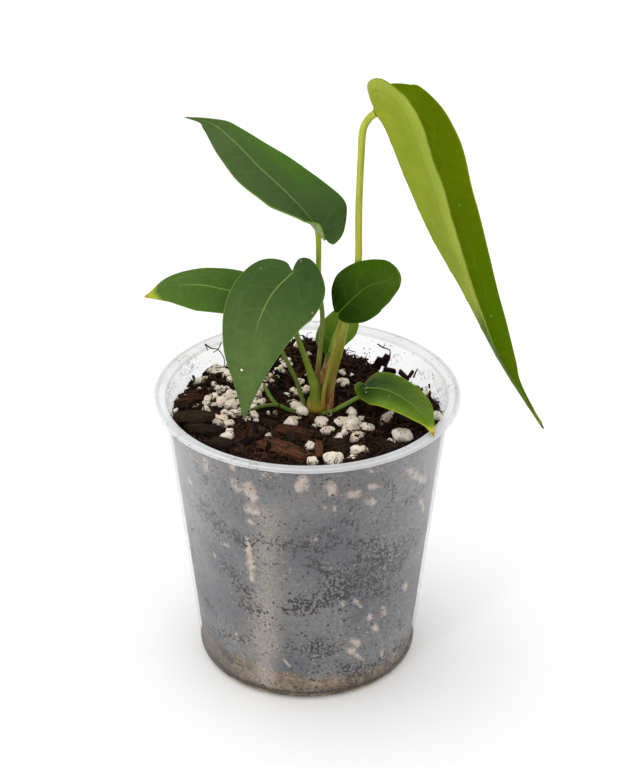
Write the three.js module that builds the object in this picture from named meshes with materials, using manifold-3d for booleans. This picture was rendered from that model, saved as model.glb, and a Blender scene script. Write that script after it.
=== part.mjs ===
// A young anthurium with seven leaves, growing in a clear plastic pot that is filled with bark mix.
// Millimetres, +Z up. The origin is the centre of the pot's foot, +X is the right side and +Y the back.
import * as THREE from 'three';
import { mergeVertices } from 'three/addons/utils/BufferGeometryUtils.js';
import Module from 'manifold-3d';

const wasm = await Module();
wasm.setup();

// Pot
const rimRadius = 60;
const potHeight = 117.4;
const rimThickness = 1.8;
const mouthRadius = 54.8;
const wallThickness = 1.2;
const shoulderRadius = 55.9;
const heelRadius = 44.4;
const heelHeight = 3;
const footInner = 37.5;
const footOuter = 41.5;
const centreFootRadius = 14;
const footRise = 1.8;
const drainCount = 8;
const drainRadius = 3;
const drainCircle = 26;
const potSides = 48;

// Growing mix
const fitGap = 0.3;
const mixLevel = 105;
const mixFrontRise = 5;
const heapHeight = 13;
const heapCentre = [1, 38];
const heapSpread = [15, 9];
const backDip = 5;
const backDipCentre = [34, 40];
const backDipSpread = 15;
const mixRings = 11;
const mixSectors = 40;
const chipCount = 44;
const chipReach = 46;
const chipWidth = 0.55;
const chipDepth = 0.36;
const chipTilt = 50;
const stemClearing = 9;

// Plant
const stemCentre = [3.8, 5];
const stemFoot = 92;
const stemTop = 114.6;
const stemRadius = 4.1;
const bladeThickness = 0.7;
const ribDepth = 0.5;
const ribWidth = 1.1;
const veinLean = 0.6;

const radians = THREE.MathUtils.degToRad;
const vec = (p) => new THREE.Vector3(p[0], p[1], p[2]);

// A repeatable run of numbers from 0 to 1
function seededDraws(seed) {
  let state = seed;
  return () => {
    state = (state * 16807) % 2147483647;
    return state / 2147483647;
  };
}

// The same geometry with its shared corners joined
function joinCorners(geometry) {
  const bare = geometry.clone();
  bare.deleteAttribute('normal');
  bare.deleteAttribute('uv');
  return mergeVertices(bare, 1e-4);
}

function toSolid(geometry) {
  const joined = joinCorners(geometry);
  const corners = Array.from(joined.index.array);
  const kept = [];
  for (let i = 0; i < corners.length; i += 3) {
    const [a, b, c] = corners.slice(i, i + 3);
    if (a !== b && b !== c && c !== a) {
      kept.push(a, b, c);
    }
  }
  return new wasm.Manifold(new wasm.Mesh({
    numProp: 3,
    vertProperties: new Float32Array(joined.attributes.position.array),
    triVerts: new Uint32Array(kept),
  }));
}

// The largest body of a solid: loose scraps go, and a hollow that got sealed is filled
function mainBody(solid) {
  return solid.decompose().reduce((best, piece) => (piece.volume() > best.volume() ? piece : best));
}

function toGeometry(solid) {
  const mesh = solid.getMesh();
  const geometry = new THREE.BufferGeometry();
  geometry.setAttribute('position', new THREE.BufferAttribute(new Float32Array(mesh.vertProperties), 3));
  geometry.setIndex(new THREE.BufferAttribute(new Uint32Array(mesh.triVerts), 1));
  geometry.computeVertexNormals();
  return geometry;
}

const plant = new THREE.Group();

function addPiece(name, solid, colour, roughness, options = {}) {
  const material = new THREE.MeshStandardMaterial({ color: colour, roughness, metalness: 0, ...options });
  const mesh = new THREE.Mesh(toGeometry(mainBody(solid)), material);
  mesh.name = name;
  plant.add(mesh);
}

// A round tube along a curve, its radius running evenly through the given values
function tube(points, radii, sides, steps, extra = 0) {
  const guide = 0.1;
  const path = new THREE.CatmullRomCurve3(points.map(vec), false, 'catmullrom', 0.5);
  const section = new THREE.Shape();
  for (let i = 0; i < sides; i += 1) {
    const turn = (2 * Math.PI * i) / sides;
    const corner = [guide * Math.cos(turn), guide * Math.sin(turn)];
    if (i === 0) {
      section.moveTo(...corner);
    } else {
      section.lineTo(...corner);
    }
  }
  const geometry = new THREE.ExtrudeGeometry(section, { steps, bevelEnabled: false, extrudePath: path });
  const centres = path.getSpacedPoints(steps);
  const position = geometry.attributes.position;
  const corner = new THREE.Vector3();
  for (let i = 0; i < position.count; i += 1) {
    corner.fromBufferAttribute(position, i);
    let ring = 0;
    centres.forEach((centre, k) => {
      if (centre.distanceToSquared(corner) < centres[ring].distanceToSquared(corner)) {
        ring = k;
      }
    });
    const along = (ring / steps) * (radii.length - 1);
    const low = Math.min(Math.floor(along), radii.length - 2);
    const radius = THREE.MathUtils.lerp(radii[low], radii[low + 1], along - low) + extra;
    corner.sub(centres[ring]).multiplyScalar(radius / guide).add(centres[ring]);
    position.setXYZ(i, corner.x, corner.y, corner.z);
  }
  return toSolid(geometry);
}

// Pot: one turned shell with a raised ring of drain holes in its floor
const wallLean = (shoulderRadius - heelRadius) / (potHeight - rimThickness - heelHeight);
const innerRadius = (z) => heelRadius - wallThickness + wallLean * Math.max(z - heelHeight, 0);

function turned(profile, segments) {
  return new THREE.LatheGeometry(profile.map((p) => new THREE.Vector2(p[0], p[1])), segments)
    .rotateX(Math.PI / 2);
}

function makePot() {
  const underRim = potHeight - rimThickness;
  const outside = [
    [0, 0],
    [centreFootRadius, 0],
    [centreFootRadius + 1.5, footRise],
    [footInner - 1.5, footRise],
    [footInner, 0],
    [footOuter, 0],
    [heelRadius - 0.8, heelHeight * 0.3],
    [heelRadius, heelHeight],
    [shoulderRadius, underRim],
    [rimRadius - 0.4, underRim],
    [rimRadius, underRim + 0.5],
    [rimRadius, potHeight - 0.5],
    [rimRadius - 0.7, potHeight],
    [rimRadius - 2, potHeight],
    [mouthRadius + 0.6, potHeight - 0.9],
    [mouthRadius, underRim - 0.6],
  ];
  const inside = [
    [heelRadius - wallThickness, heelHeight],
    [heelRadius - wallThickness - 0.8, wallThickness + 0.8],
    [footOuter - 0.6, wallThickness],
    [footInner + 0.6, wallThickness],
    [footInner - 0.9, footRise + wallThickness],
    [centreFootRadius + 0.9, footRise + wallThickness],
    [centreFootRadius - 0.6, wallThickness],
    [0, wallThickness],
  ];
  let pot = toSolid(turned([...outside, ...inside], potSides));
  for (let i = 0; i < drainCount; i += 1) {
    const turn = (2 * Math.PI * i) / drainCount;
    const hole = new THREE.CylinderGeometry(drainRadius, drainRadius, 8, 12).rotateX(Math.PI / 2);
    hole.translate(drainCircle * Math.cos(turn), drainCircle * Math.sin(turn), footRise);
    pot = pot.subtract(toSolid(hole));
  }
  return pot;
}

// Height of the mix: level, higher at the front, a heap behind the plant and a dip at the back right
function bump(x, y, centre, spreadX, spreadY) {
  return Math.exp(-0.5 * (((x - centre[0]) / spreadX) ** 2 + ((y - centre[1]) / spreadY) ** 2));
}

function mixHeight(x, y) {
  const front = mixFrontRise * THREE.MathUtils.smoothstep(-y, 15, 50);
  const heap = heapHeight * bump(x, y, heapCentre, heapSpread[0], heapSpread[1]);
  const dip = backDip * bump(x, y, backDipCentre, backDipSpread, backDipSpread);
  const lumps = 0.7 * Math.sin(0.42 * x + 1.3) * Math.sin(0.38 * y) + 0.45 * Math.sin(0.9 * x - 0.7 * y);
  return mixLevel + front + heap - dip + lumps;
}

// The body of the mix: a closed grid of rings, up the floor and wall and in over the top
function makeMixBody() {
  const rings = [];
  const floorLift = wallThickness + fitGap;
  const profile = [
    [centreFootRadius - 0.9, floorLift],
    [centreFootRadius + 0.6, footRise + floorLift],
    [footInner - 0.6, footRise + floorLift],
    [footInner + 0.9, floorLift],
    [footOuter - 0.9, floorLift],
    [heelRadius - wallThickness - fitGap - 0.8, floorLift + 0.8],
    [heelRadius - wallThickness - fitGap, heelHeight + 0.1],
  ];
  profile.forEach(([radius, z]) => rings.push(() => [radius, z]));
  for (let k = 0; k < mixRings; k += 1) {
    const share = 1 - k / mixRings;
    rings.push((turn) => {
      const wall = innerRadius(mixLevel) - fitGap;
      const edge = mixHeight(wall * Math.cos(turn), wall * Math.sin(turn));
      const radius = share * (innerRadius(edge) - fitGap);
      return [radius, mixHeight(radius * Math.cos(turn), radius * Math.sin(turn))];
    });
  }
  const positions = [0, 0, floorLift];
  rings.forEach((ring) => {
    for (let j = 0; j < mixSectors; j += 1) {
      const turn = (2 * Math.PI * j) / mixSectors;
      const [radius, z] = ring(turn);
      positions.push(radius * Math.cos(turn), radius * Math.sin(turn), z);
    }
  });
  positions.push(0, 0, mixHeight(0, 0));
  const last = positions.length / 3 - 1;
  const corner = (ring, j) => 1 + ring * mixSectors + (j % mixSectors);
  const index = [];
  for (let j = 0; j < mixSectors; j += 1) {
    index.push(0, corner(0, j + 1), corner(0, j));
    index.push(last, corner(rings.length - 1, j), corner(rings.length - 1, j + 1));
    for (let k = 0; k < rings.length - 1; k += 1) {
      index.push(corner(k, j), corner(k, j + 1), corner(k + 1, j + 1));
      index.push(corner(k, j), corner(k + 1, j + 1), corner(k + 1, j));
    }
  }
  const geometry = new THREE.BufferGeometry();
  geometry.setAttribute('position', new THREE.Float32BufferAttribute(positions, 3));
  geometry.setIndex(index);
  return toSolid(geometry);
}

// Bark chips, sunk in the top of the mix at all angles
function makeChips() {
  const draw = seededDraws(71);
  const chips = [];
  for (let i = 0; i < chipCount; i += 1) {
    const reach = chipReach * Math.sqrt(draw());
    const turn = 2 * Math.PI * draw();
    const x = reach * Math.cos(turn);
    const y = reach * Math.sin(turn);
    const size = 4 + 5 * draw();
    const chip = joinCorners(new THREE.BoxGeometry(size, size * chipWidth, size * chipDepth));
    const position = chip.attributes.position;
    for (let k = 0; k < position.count; k += 1) {
      position.setX(k, position.getX(k) * (0.55 + 0.6 * draw()));
      position.setY(k, position.getY(k) * (0.6 + 0.6 * draw()));
    }
    chip.rotateX(radians(chipTilt * (draw() - 0.5)));
    chip.rotateY(radians(chipTilt * (draw() - 0.5)));
    chip.rotateZ(2 * Math.PI * draw());
    chip.translate(x, y, mixHeight(x, y) + 0.1 * size);
    const nearStem = Math.hypot(x - stemCentre[0], y - stemCentre[1]) < stemClearing;
    if (!nearStem) {
      chips.push(toSolid(chip));
    }
  }
  return chips;
}

// One rounded, uneven perlite grain that sits in the surface of the mix
function grain(x, y, radius, draw, extra = 0) {
  const ball = joinCorners(new THREE.IcosahedronGeometry(1, 0));
  const position = ball.attributes.position;
  for (let i = 0; i < position.count; i += 1) {
    const reach = radius * (0.88 + 0.24 * draw()) + extra;
    position.setXYZ(i, position.getX(i) * reach, position.getY(i) * reach, position.getZ(i) * reach);
  }
  ball.rotateZ(6 * draw());
  ball.translate(x, y, mixHeight(x, y) + 0.35 * radius);
  return toSolid(ball);
}

// A bunch of grains: each new one leans on an earlier one, inside the bunch's oval
function bunch({ centre, spread, count, size, seed }, extra = 0) {
  const draw = seededDraws(seed);
  const spots = [[centre[0], centre[1]]];
  let tries = 0;
  while (spots.length < count && tries < 4000) {
    tries += 1;
    const from = spots[Math.floor(draw() * spots.length)];
    const turn = 2 * Math.PI * draw();
    const x = from[0] + size * 0.82 * Math.cos(turn);
    const y = from[1] + size * 0.82 * Math.sin(turn);
    const inside = Math.hypot((x - centre[0]) / spread[0], (y - centre[1]) / spread[1]) < 1;
    const clear = spots.every((spot) => Math.hypot(x - spot[0], y - spot[1]) > size * 0.7);
    if (inside && clear) {
      spots.push([x, y]);
    }
  }
  return spots
    .map(([x, y]) => grain(x, y, size * (0.48 + 0.14 * draw()), draw, extra))
    .reduce((all, next) => all.add(next));
}

const bunches = {
  perlite_left: { centre: [-33, 9], spread: [12, 19], count: 21, size: 4.8, seed: 11 },
  perlite_front: { centre: [15, -12], spread: [11, 6], count: 9, size: 5, seed: 23 },
  perlite_rim: { centre: [12, -30], spread: [12, 5], count: 5, size: 5.2, seed: 37 },
  perlite_stem: { centre: [-5.5, 3], spread: [4, 5], count: 3, size: 4.8, seed: 41 },
  perlite_back: { centre: [-4, 18], spread: [6, 5], count: 4, size: 4.2, seed: 53 },
  perlite_right: { centre: [35, -17], spread: [6, 6], count: 3, size: 6, seed: 67 },
};

// Stem: a short swollen stem with its roots in the mix
function makeStem(extra = 0) {
  const [x, y] = stemCentre;
  const profile = [
    [0, stemFoot - extra],
    [2.6 + extra, stemFoot - extra],
    [3.4 + extra, 98],
    [stemRadius + extra, 105],
    [stemRadius + extra, 107.5],
    [3.2 + extra, 111],
    [1.9 + extra, stemTop + extra],
    [0, stemTop + extra],
  ];
  let stem = toSolid(turned(profile, 14).translate(x, y, 0));
  const roots = [
    [[x, y, 97], [-6, -8, 86], [-20, -28, 74], [-23, -40, 58], [-20.5, -39.5, 42]],
    [[x, y, 96], [14, -6, 84], [27, -16, 66], [30, -20, 44]],
    [[x, y, 97], [16, 16, 88], [30, 24, 70], [26, 30, 48]],
    [[x, y, 96], [-8, 18, 86], [-24, 26, 68], [-22, 20, 40]],
    [[x, y, 95], [2, 2, 80], [6, -6, 56], [0, 4, 30]],
  ];
  roots.forEach((route) => {
    stem = stem.add(tube(route, [1.5, 1.2, 0.9, 0.8], 6, 9, extra));
  });
  return stem;
}

// Leaf blades. A blade is drawn flat, as half outlines of [along the midrib, out from it], and then
// bent along its midrib. "faces" are the ways its upper side looks, and "folds" how far each half is
// lifted, both from the base to the tip. "curl" bends a half further for each millimetre out.
function spread(list, share) {
  const along = THREE.MathUtils.clamp(share, 0, 1) * (list.length - 1);
  const low = Math.min(Math.floor(along), list.length - 2);
  return [list[low], list[low + 1], along - low];
}

function bladeShape(leaf) {
  const path = new THREE.CatmullRomCurve3(leaf.midrib.map(vec), false, 'catmullrom', 0.5);
  path.arcLengthDivisions = 400;
  const length = path.getLength();
  function frameAt(u) {
    const share = THREE.MathUtils.clamp(u / length, 0, 1);
    const tangent = path.getTangentAt(share);
    const origin = path.getPointAt(share).addScaledVector(tangent, u - share * length);
    const [faceA, faceB, mix] = spread(leaf.faces, share);
    const face = vec(faceA).normalize().lerp(vec(faceB).normalize(), mix);
    face.addScaledVector(tangent, -face.dot(tangent)).normalize();
    const side = new THREE.Vector3().crossVectors(tangent, face);
    return { origin, face, side };
  }
  function foldAt(u, right) {
    const [foldA, foldB, mix] = spread(right ? leaf.rightFolds : leaf.leftFolds, u / length);
    return radians(THREE.MathUtils.lerp(foldA, foldB, mix));
  }
  function pointAt(u, v) {
    const { origin, face, side } = frameAt(u);
    const fold = foldAt(u, v >= 0);
    const curl = radians(leaf.curl || 0.001);
    const out = Math.abs(v);
    const across = (Math.sin(fold + curl * out) - Math.sin(fold)) / curl;
    const wave = (leaf.wave || 0) * Math.sin(u / 4.2 + (v > 0 ? 0 : 1.7)) * (out / 12) ** 2;
    const lift = (Math.cos(fold) - Math.cos(fold + curl * out)) / curl + wave;
    return origin.addScaledVector(side, Math.sign(v) * across).addScaledVector(face, lift);
  }
  function normalAt(u, v) {
    if (v === 0) {
      const meanFold = (foldAt(u, true) + foldAt(u, false)) / 2;
      return frameAt(u).face.multiplyScalar(1 / Math.cos(meanFold));
    }
    const step = 0.05;
    const along = pointAt(u + step, v).sub(pointAt(u - step, v));
    const across = pointAt(u, v + step * Math.sign(v)).sub(pointAt(u, v)).multiplyScalar(Math.sign(v));
    return across.cross(along).normalize();
  }
  return { length, frameAt, pointAt, normalAt };
}

function makeBlade(leaf) {
  const shape = bladeShape(leaf);
  const lobeRows = leaf.lobeRows;
  const mainRows = leaf.mainRows;
  const acrossShares = [0, 0.12, 0.42, 0.72, 1];
  const top = [];
  const bottom = [];
  const index = [];
  const thickness = leaf.thickness || bladeThickness;

  function corner(u, v) {
    const point = shape.pointAt(u, v);
    const normal = shape.normalAt(u, v);
    const rib = ribDepth * Math.exp(-((v / ribWidth) ** 2));
    top.push(point.clone().addScaledVector(normal, thickness / 2));
    bottom.push(point.addScaledVector(normal, -thickness / 2 - rib));
    return top.length - 1;
  }

  // Rows run from the midrib to the edge, in a fan from the base in the lobe and then like veins
  function halfRows(outline, sign, ribCorners) {
    const edge = new THREE.SplineCurve(outline.map((p) => new THREE.Vector2(p[0], p[1])));
    const rootOf = (s) => edge.getPoint(s).x - veinLean * edge.getPoint(s).y;
    function shareAt(root) {
      let low = 0;
      let high = 1;
      for (let i = 0; i < 40; i += 1) {
        const middle = (low + high) / 2;
        if (rootOf(middle) < root) {
          low = middle;
        } else {
          high = middle;
        }
      }
      return high;
    }
    const firstVein = shareAt(0.001);
    const rows = [];
    for (let i = 0; i <= lobeRows + mainRows; i += 1) {
      const main = Math.max(i - lobeRows, 0);
      const root = (shape.length * main) / mainRows;
      const share = main > 0 ? shareAt(Math.min(root, shape.length - 0.001)) : (firstVein * i) / lobeRows;
      const end = edge.getPoint(share);
      rows.push(acrossShares.map((across, j) => {
        if (j === 0 || main === mainRows) {
          return ribCorners[main];
        }
        return corner(root + (end.x - root) * across, sign * end.y * across);
      }));
    }
    return rows;
  }

  const ribCorners = [];
  for (let main = 0; main <= mainRows; main += 1) {
    ribCorners.push(corner((shape.length * main) / mainRows, 0));
  }
  const halves = [halfRows(leaf.rightOutline, 1, ribCorners), halfRows(leaf.leftOutline, -1, ribCorners)];
  const count = top.length;
  const triangles = (a, b, c) => {
    index.push(a, b, c);
    index.push(a + count, c + count, b + count);
  };
  const wall = (a, b) => {
    index.push(a, a + count, b + count);
    index.push(a, b + count, b);
  };
  halves.forEach((rows, half) => {
    const turn = (a, b, c) => (half === 0 ? triangles(a, b, c) : triangles(a, c, b));
    const side = (a, b) => (half === 0 ? wall(a, b) : wall(b, a));
    for (let i = 0; i < rows.length - 1; i += 1) {
      for (let j = 0; j < acrossShares.length - 1; j += 1) {
        turn(rows[i][j], rows[i][j + 1], rows[i + 1][j + 1]);
        turn(rows[i][j], rows[i + 1][j + 1], rows[i + 1][j]);
      }
      side(rows[i][acrossShares.length - 1], rows[i + 1][acrossShares.length - 1]);
    }
    for (let j = 0; j < acrossShares.length - 1; j += 1) {
      side(rows[0][j], rows[0][j + 1]);
    }
  });
  const geometry = new THREE.BufferGeometry();
  const all = [...top, ...bottom].flatMap((p) => [p.x, p.y, p.z]);
  geometry.setAttribute('position', new THREE.Float32BufferAttribute(all, 3));
  geometry.setIndex(index);
  return toSolid(geometry);
}

// A leaf stalk, which comes up under its blade at the foot of the midrib
function makeStalk(leaf, extra = 0) {
  const { origin, face } = bladeShape(leaf).frameAt(leaf.stalk.meets || 0.8);
  const thickness = leaf.thickness || bladeThickness;
  const end = origin.clone().addScaledVector(face, -thickness / 2 - ribDepth - (leaf.stalk.gap || fitGap));
  const bend = end.clone().addScaledVector(face, -leaf.stalk.neck);
  const route = [...leaf.stalk.route, bend.toArray(), end.toArray()];
  return tube(route, leaf.stalk.radii, 8, leaf.stalk.steps, extra);
}

const leaves = {
  upper_left: {
    midrib: [[4.5, 7, 182], [-1, 12, 188], [-8.5, 18, 194], [-18, 25, 200.5], [-27, 33, 207],
      [-36.5, 42, 211.5], [-48, 48, 212]],
    faces: [[0.25, -0.6, 0.75], [0, -0.75, 0.65], [-0.3, -0.9, 0.3]],
    rightFolds: [10, 12, 14, 17, 20],
    leftFolds: [62, 24, 14, 17, 20],
    rightOutline: [[-5.6, 0.7], [-7.3, 2.4], [-5, 8.4], [3, 14.8], [12, 13.6], [22, 11.7], [34, 9.5],
      [47, 6.2], [60, 3.2], [75, 0]],
    leftOutline: [[-4, 1], [-5, 5], [-1.5, 9.5], [5, 11.3], [13, 11.6], [24, 11.2], [35, 10.7],
      [47.5, 8.8], [58, 6], [66, 2.6], [75, 0]],
    wave: 0.5,
    lobeRows: 4,
    mainRows: 14,
    colour: 0x2f5a2c,
    stalk: {
      route: [[3.8, 9.8, 106], [3.8, 8.9, 115], [4.5, 8.5, 124], [5, 8.5, 131.5], [5.8, 8.5, 145],
        [5.8, 8.6, 158.5], [5.4, 9, 171]],
      radii: [1.3, 1, 0.95, 1, 1.2],
      neck: 3,
      steps: 16,
      colour: 0x8aa544,
    },
  },
  hanging_right: {
    midrib: [[25, 3, 232.4], [29.6, 0.8, 226], [37.6, -3, 206.8], [47, -7, 186.4], [59, -10, 165.4],
      [74.2, -11, 135.8], [93, -8, 104]],
    faces: [[0.8, -0.17, 0.58], [0.81, -0.22, 0.54], [0.65, -0.41, 0.64], [0.62, -0.45, 0.65]],
    rightFolds: [49, 43.5, 38, 34],
    leftFolds: [50, 48, 38, 34],
    rightOutline: [[-4.5, 2.4], [-9, 6.4], [-10, 12], [-7, 19], [2, 23.6], [16, 24.2], [32, 24.4],
      [47, 22.6], [62, 19.4], [79, 13.6], [97, 9.4], [114, 5], [130, 1.6], [147, 0]],
    leftOutline: [[-3.5, 2.2], [-5.6, 5.5], [-4.6, 10.5], [-0.6, 16], [5.5, 20.6], [12, 23.6],
      [20, 24.6], [32, 24.2], [46, 21.6], [61, 18.6], [79.5, 12.9], [97.5, 9.2], [113, 5.4], [121, 2.6],
      [131, 1.2], [147, 0]],
    wave: 0.06,
    lobeRows: 5,
    mainRows: 18,
    colour: 0x6c8f22,
    stalk: {
      route: [[8.8, 5.6, 107], [9, 5.4, 113], [10.2, 5.5, 122], [12.5, 5.5, 131], [14.8, 5, 144],
        [18, 4.5, 158.5], [19.5, 4, 171], [19.5, 4, 183], [19.5, 3.5, 195], [20, 3, 214],
        [20.6, 3.2, 224.5]],
      radii: [1.8, 1.6, 1.45, 1.35, 1.3, 1.45],
      neck: 3,
      gap: 0.6,
      steps: 24,
      colour: 0x9bac3f,
    },
  },
  left: {
    midrib: [[-19, 6, 155], [-29.5, 7, 157], [-41, 8, 159], [-52, 7.5, 158.5], [-62.5, 6, 155]],
    faces: [[0, -0.62, 0.78], [0, -0.6, 0.8]],
    rightFolds: [-8, -8],
    leftFolds: [-8, -8],
    rightOutline: [[-3, 1.5], [-4.5, 5], [-1, 9], [6, 9.9], [12.5, 9.9], [18, 8.9], [25, 7.3], [34.5, 4.7],
      [40.5, 1.8], [45, 0]],
    leftOutline: [[-3, 1.5], [-4, 5], [1, 8], [8, 8.9], [14, 9.7], [20, 10.3], [25, 10], [31.6, 7.8],
      [38, 4.5], [45, 0]],
    lobeRows: 3,
    mainRows: 10,
    colour: 0x3c7a2a,
    stalk: {
      route: [[-0.8, 7, 106], [-2, 7, 110], [-4.5, 7, 118.5], [-9.5, 7, 130], [-13.5, 7.5, 141],
        [-16.6, 8.5, 148]],
      radii: [0.9, 0.8, 0.8],
      neck: 2.5,
      gap: 0.5,
      steps: 12,
      colour: 0x7d9c42,
    },
  },
  front: {
    midrib: [[-5.5, -1, 168.5], [-12.5, -4, 162], [-17.5, -8, 153.5], [-21, -13, 142], [-23, -19, 129],
      [-24, -23, 117]],
    faces: [[-0.2, -0.75, 0.65], [-0.3, -0.8, 0.5]],
    rightFolds: [6, 4],
    leftFolds: [6, 4],
    curl: -0.3,
    rightOutline: [[-0.6, 2], [-1.3, 4.7], [1, 8.7], [5.5, 12.3], [11, 14.5], [16.5, 15.1], [23.5, 14.4],
      [30, 12.7], [37, 10.2], [45.5, 6], [53, 2.7], [61, 0]],
    leftOutline: [[-4, -1], [-7.4, -0.4], [-8.6, 3.5], [-7.4, 9], [-4, 14.6], [1.5, 17.8], [7, 18.8],
      [13, 18.3], [24, 15], [35, 10.8], [44, 6.8], [53.5, 2.9], [61, 0]],
    lobeRows: 5,
    mainRows: 12,
    colour: 0x3b6735,
    stalk: {
      route: [[3.5, 4.9, 115.1], [2, 4.2, 120.5], [-1, 3, 131], [-4, 2, 141], [-5.6, 1.8, 152],
        [-5.9, 2.4, 160]],
      radii: [1.8, 1.15, 1, 1, 1.1],
      neck: 3,
      steps: 14,
      colour: 0x86a245,
    },
  },
  round_right: {
    midrib: [[12, -6, 154], [17, -5.5, 159.5], [22.7, -4, 164], [29, -3, 166], [35.5, -3, 168]],
    faces: [[-0.05, -0.75, 0.7], [0, -0.75, 0.7]],
    rightFolds: [6, 6],
    leftFolds: [6, 6],
    rightOutline: [[-1.4, 1.4], [-0.9, 3.6], [1, 6.3], [5, 9.6], [10, 11], [15, 10.9], [20, 9.5],
      [26.3, 4.8], [28.7, 0]],
    leftOutline: [[-0.8, 1.2], [0, 3], [2, 5.6], [4.7, 8.4], [8.6, 10.6], [13, 10.8], [17, 9.9],
      [21.5, 8.8], [25, 7], [27.6, 3.6], [28.7, 0]],
    lobeRows: 3,
    mainRows: 9,
    colour: 0x2c5424,
    stalk: {
      route: [[6.2, 2, 110], [6.8, 1.8, 116.5], [9, 0.6, 128], [10.6, -1, 138]],
      radii: [0.85, 0.8, 0.85],
      neck: 2.5,
      steps: 10,
      colour: 0x7d9c42,
    },
  },
  small_back: {
    midrib: [[8.5, 13, 126.5], [10.5, 14, 134], [13.5, 16, 140], [17, 18, 147]],
    faces: [[0, -0.9, 0.3], [0, -0.85, 0.4]],
    rightFolds: [10, 8],
    leftFolds: [10, 8],
    rightOutline: [[-0.6, 1.3], [1, 3], [5, 5.4], [11, 7.6], [16, 7], [20.5, 3.6], [23.3, 0]],
    leftOutline: [[-0.6, 1.3], [0.6, 3.4], [4, 6.2], [8, 6.8], [12, 6.1], [17.5, 3.9], [23.3, 0]],
    lobeRows: 2,
    mainRows: 8,
    colour: 0x4c8733,
    stalk: {
      route: [[5.2, 11.4, 108], [5.5, 11.6, 114], [6.6, 13.2, 119.5]],
      radii: [0.8, 0.7, 0.75],
      neck: 2,
      steps: 8,
      colour: 0x86a245,
    },
  },
  low_right: {
    midrib: [[23, 2, 117], [28.5, -2, 119], [34, -8, 120.2], [40, -17, 120.6], [44.5, -27, 120.3],
      [47.5, -38, 118.8]],
    faces: [[0, -0.35, 1], [0.3, -0.1, 1]],
    rightFolds: [-8, -6],
    leftFolds: [-8, -6],
    rightOutline: [[-3, -2], [-5.8, -4.6], [-6.6, -2], [-4.5, 1.5], [-2, 3.8], [2.5, 6.6], [9, 8.9],
      [18.5, 8.7], [27.5, 7.5], [36.5, 4.8], [42, 1.6], [48.5, 0]],
    leftOutline: [[-1.8, 2], [-3, 5], [-3, 8.5], [-1.5, 11.3], [5, 11.7], [11, 11.1], [17.6, 10.5],
      [24.6, 9], [30, 7.2], [37.5, 4], [44.5, 1.6], [48.5, 0]],
    lobeRows: 4,
    mainRows: 11,
    colour: 0x3e7c28,
    stalk: {
      route: [[5.5, 1, 106], [10.5, 1.5, 107.2], [13, 2, 108.4], [17, 2.6, 110.6], [20.6, 3, 112.6]],
      radii: [0.95, 0.85, 0.9],
      neck: 1.5,
      gap: 0.5,
      steps: 10,
      colour: 0x7fa33c,
    },
  },
};

// Papery old sheaths between the stalks
const sheaths = {
  sheath_tall: {
    midrib: [[6.1, 6.6, 114.5], [6.9, 6.8, 121], [8.6, 7.2, 129]],
    faces: [[-0.1, -1, 0], [-0.1, -1, 0]],
    rightFolds: [25, 10],
    leftFolds: [25, 10],
    rightOutline: [[0, 1.3], [4, 1.5], [9, 1], [15, 0]],
    leftOutline: [[0, 1.3], [4, 1.5], [9, 1], [15, 0]],
    lobeRows: 1,
    mainRows: 5,
  },
  sheath_low: {
    midrib: [[8.6, 2.5, 105.6], [9.5, 2.6, 110], [10.6, 2.6, 115]],
    faces: [[0.3, -1, 0], [0.3, -1, 0]],
    rightFolds: [-20, 0],
    leftFolds: [-20, 0],
    rightOutline: [[0, 1.2], [3, 1.4], [6, 0.9], [9.7, 0]],
    leftOutline: [[0, 1.2], [3, 1.4], [6, 0.9], [9.7, 0]],
    lobeRows: 1,
    mainRows: 4,
  },
};

// A thin forked shoot that lies on the mix at the left
const shootRoutes = [
  [[-3, 2.4, 105.5], [-7, 2.8, 106.6], [-12, 3.5, 108.6], [-17.5, 1.5, 109.2], [-22, -1, 109]],
  [[-12, 3.5, 108.6], [-14.6, 5.4, 111.4], [-17, 8, 115.6]],
];

function makeShoot(extra = 0) {
  return shootRoutes
    .map((route) => tube(route, [0.9, 0.8, 0.7], 6, 8, extra))
    .reduce((all, next) => all.add(next));
}

addPiece('pot', makePot(), 0xc3c7ca, 0.3, { transparent: true, opacity: 0.5 });
addPiece('stem', makeStem(), 0x8a9a3c, 0.5);
const stemSpace = makeStem(fitGap);
const stalkSpaces = {};
Object.entries(leaves).forEach(([name, leaf]) => {
  stalkSpaces[name] = makeStalk(leaf, fitGap);
  addPiece(`leaf_${name}`, makeBlade(leaf), leaf.colour, 0.45);
  addPiece(`stalk_${name}`, makeStalk(leaf).subtract(stemSpace), leaf.stalk.colour, 0.5);
});
Object.entries(sheaths).forEach(([name, sheath]) => {
  const clear = Object.values(stalkSpaces).reduce((rest, space) => rest.subtract(space), makeBlade(sheath));
  addPiece(name, clear.subtract(stemSpace), 0x8c5a3c, 0.8);
});
addPiece('shoot', makeShoot().subtract(stemSpace), 0x7fa33c, 0.5);

let mix = makeMixBody();
makeChips().forEach((chip) => {
  mix = mix.add(chip);
});
Object.entries(bunches).forEach(([name, rule]) => {
  const others = [stemSpace, makeShoot(fitGap), ...Object.values(stalkSpaces)];
  addPiece(name, others.reduce((rest, space) => rest.subtract(space), bunch(rule)), 0xe6ddcf, 0.9);
  mix = mix.subtract(bunch(rule, fitGap));
});
[stemSpace, makeShoot(fitGap), ...Object.values(stalkSpaces)].forEach((space) => {
  mix = mix.subtract(space);
});
addPiece('mix', mix, 0x3a2a20, 0.95);

export default plant;
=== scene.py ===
import math
import random

import bmesh
import bpy
from mathutils import Matrix, Vector, noise


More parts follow.
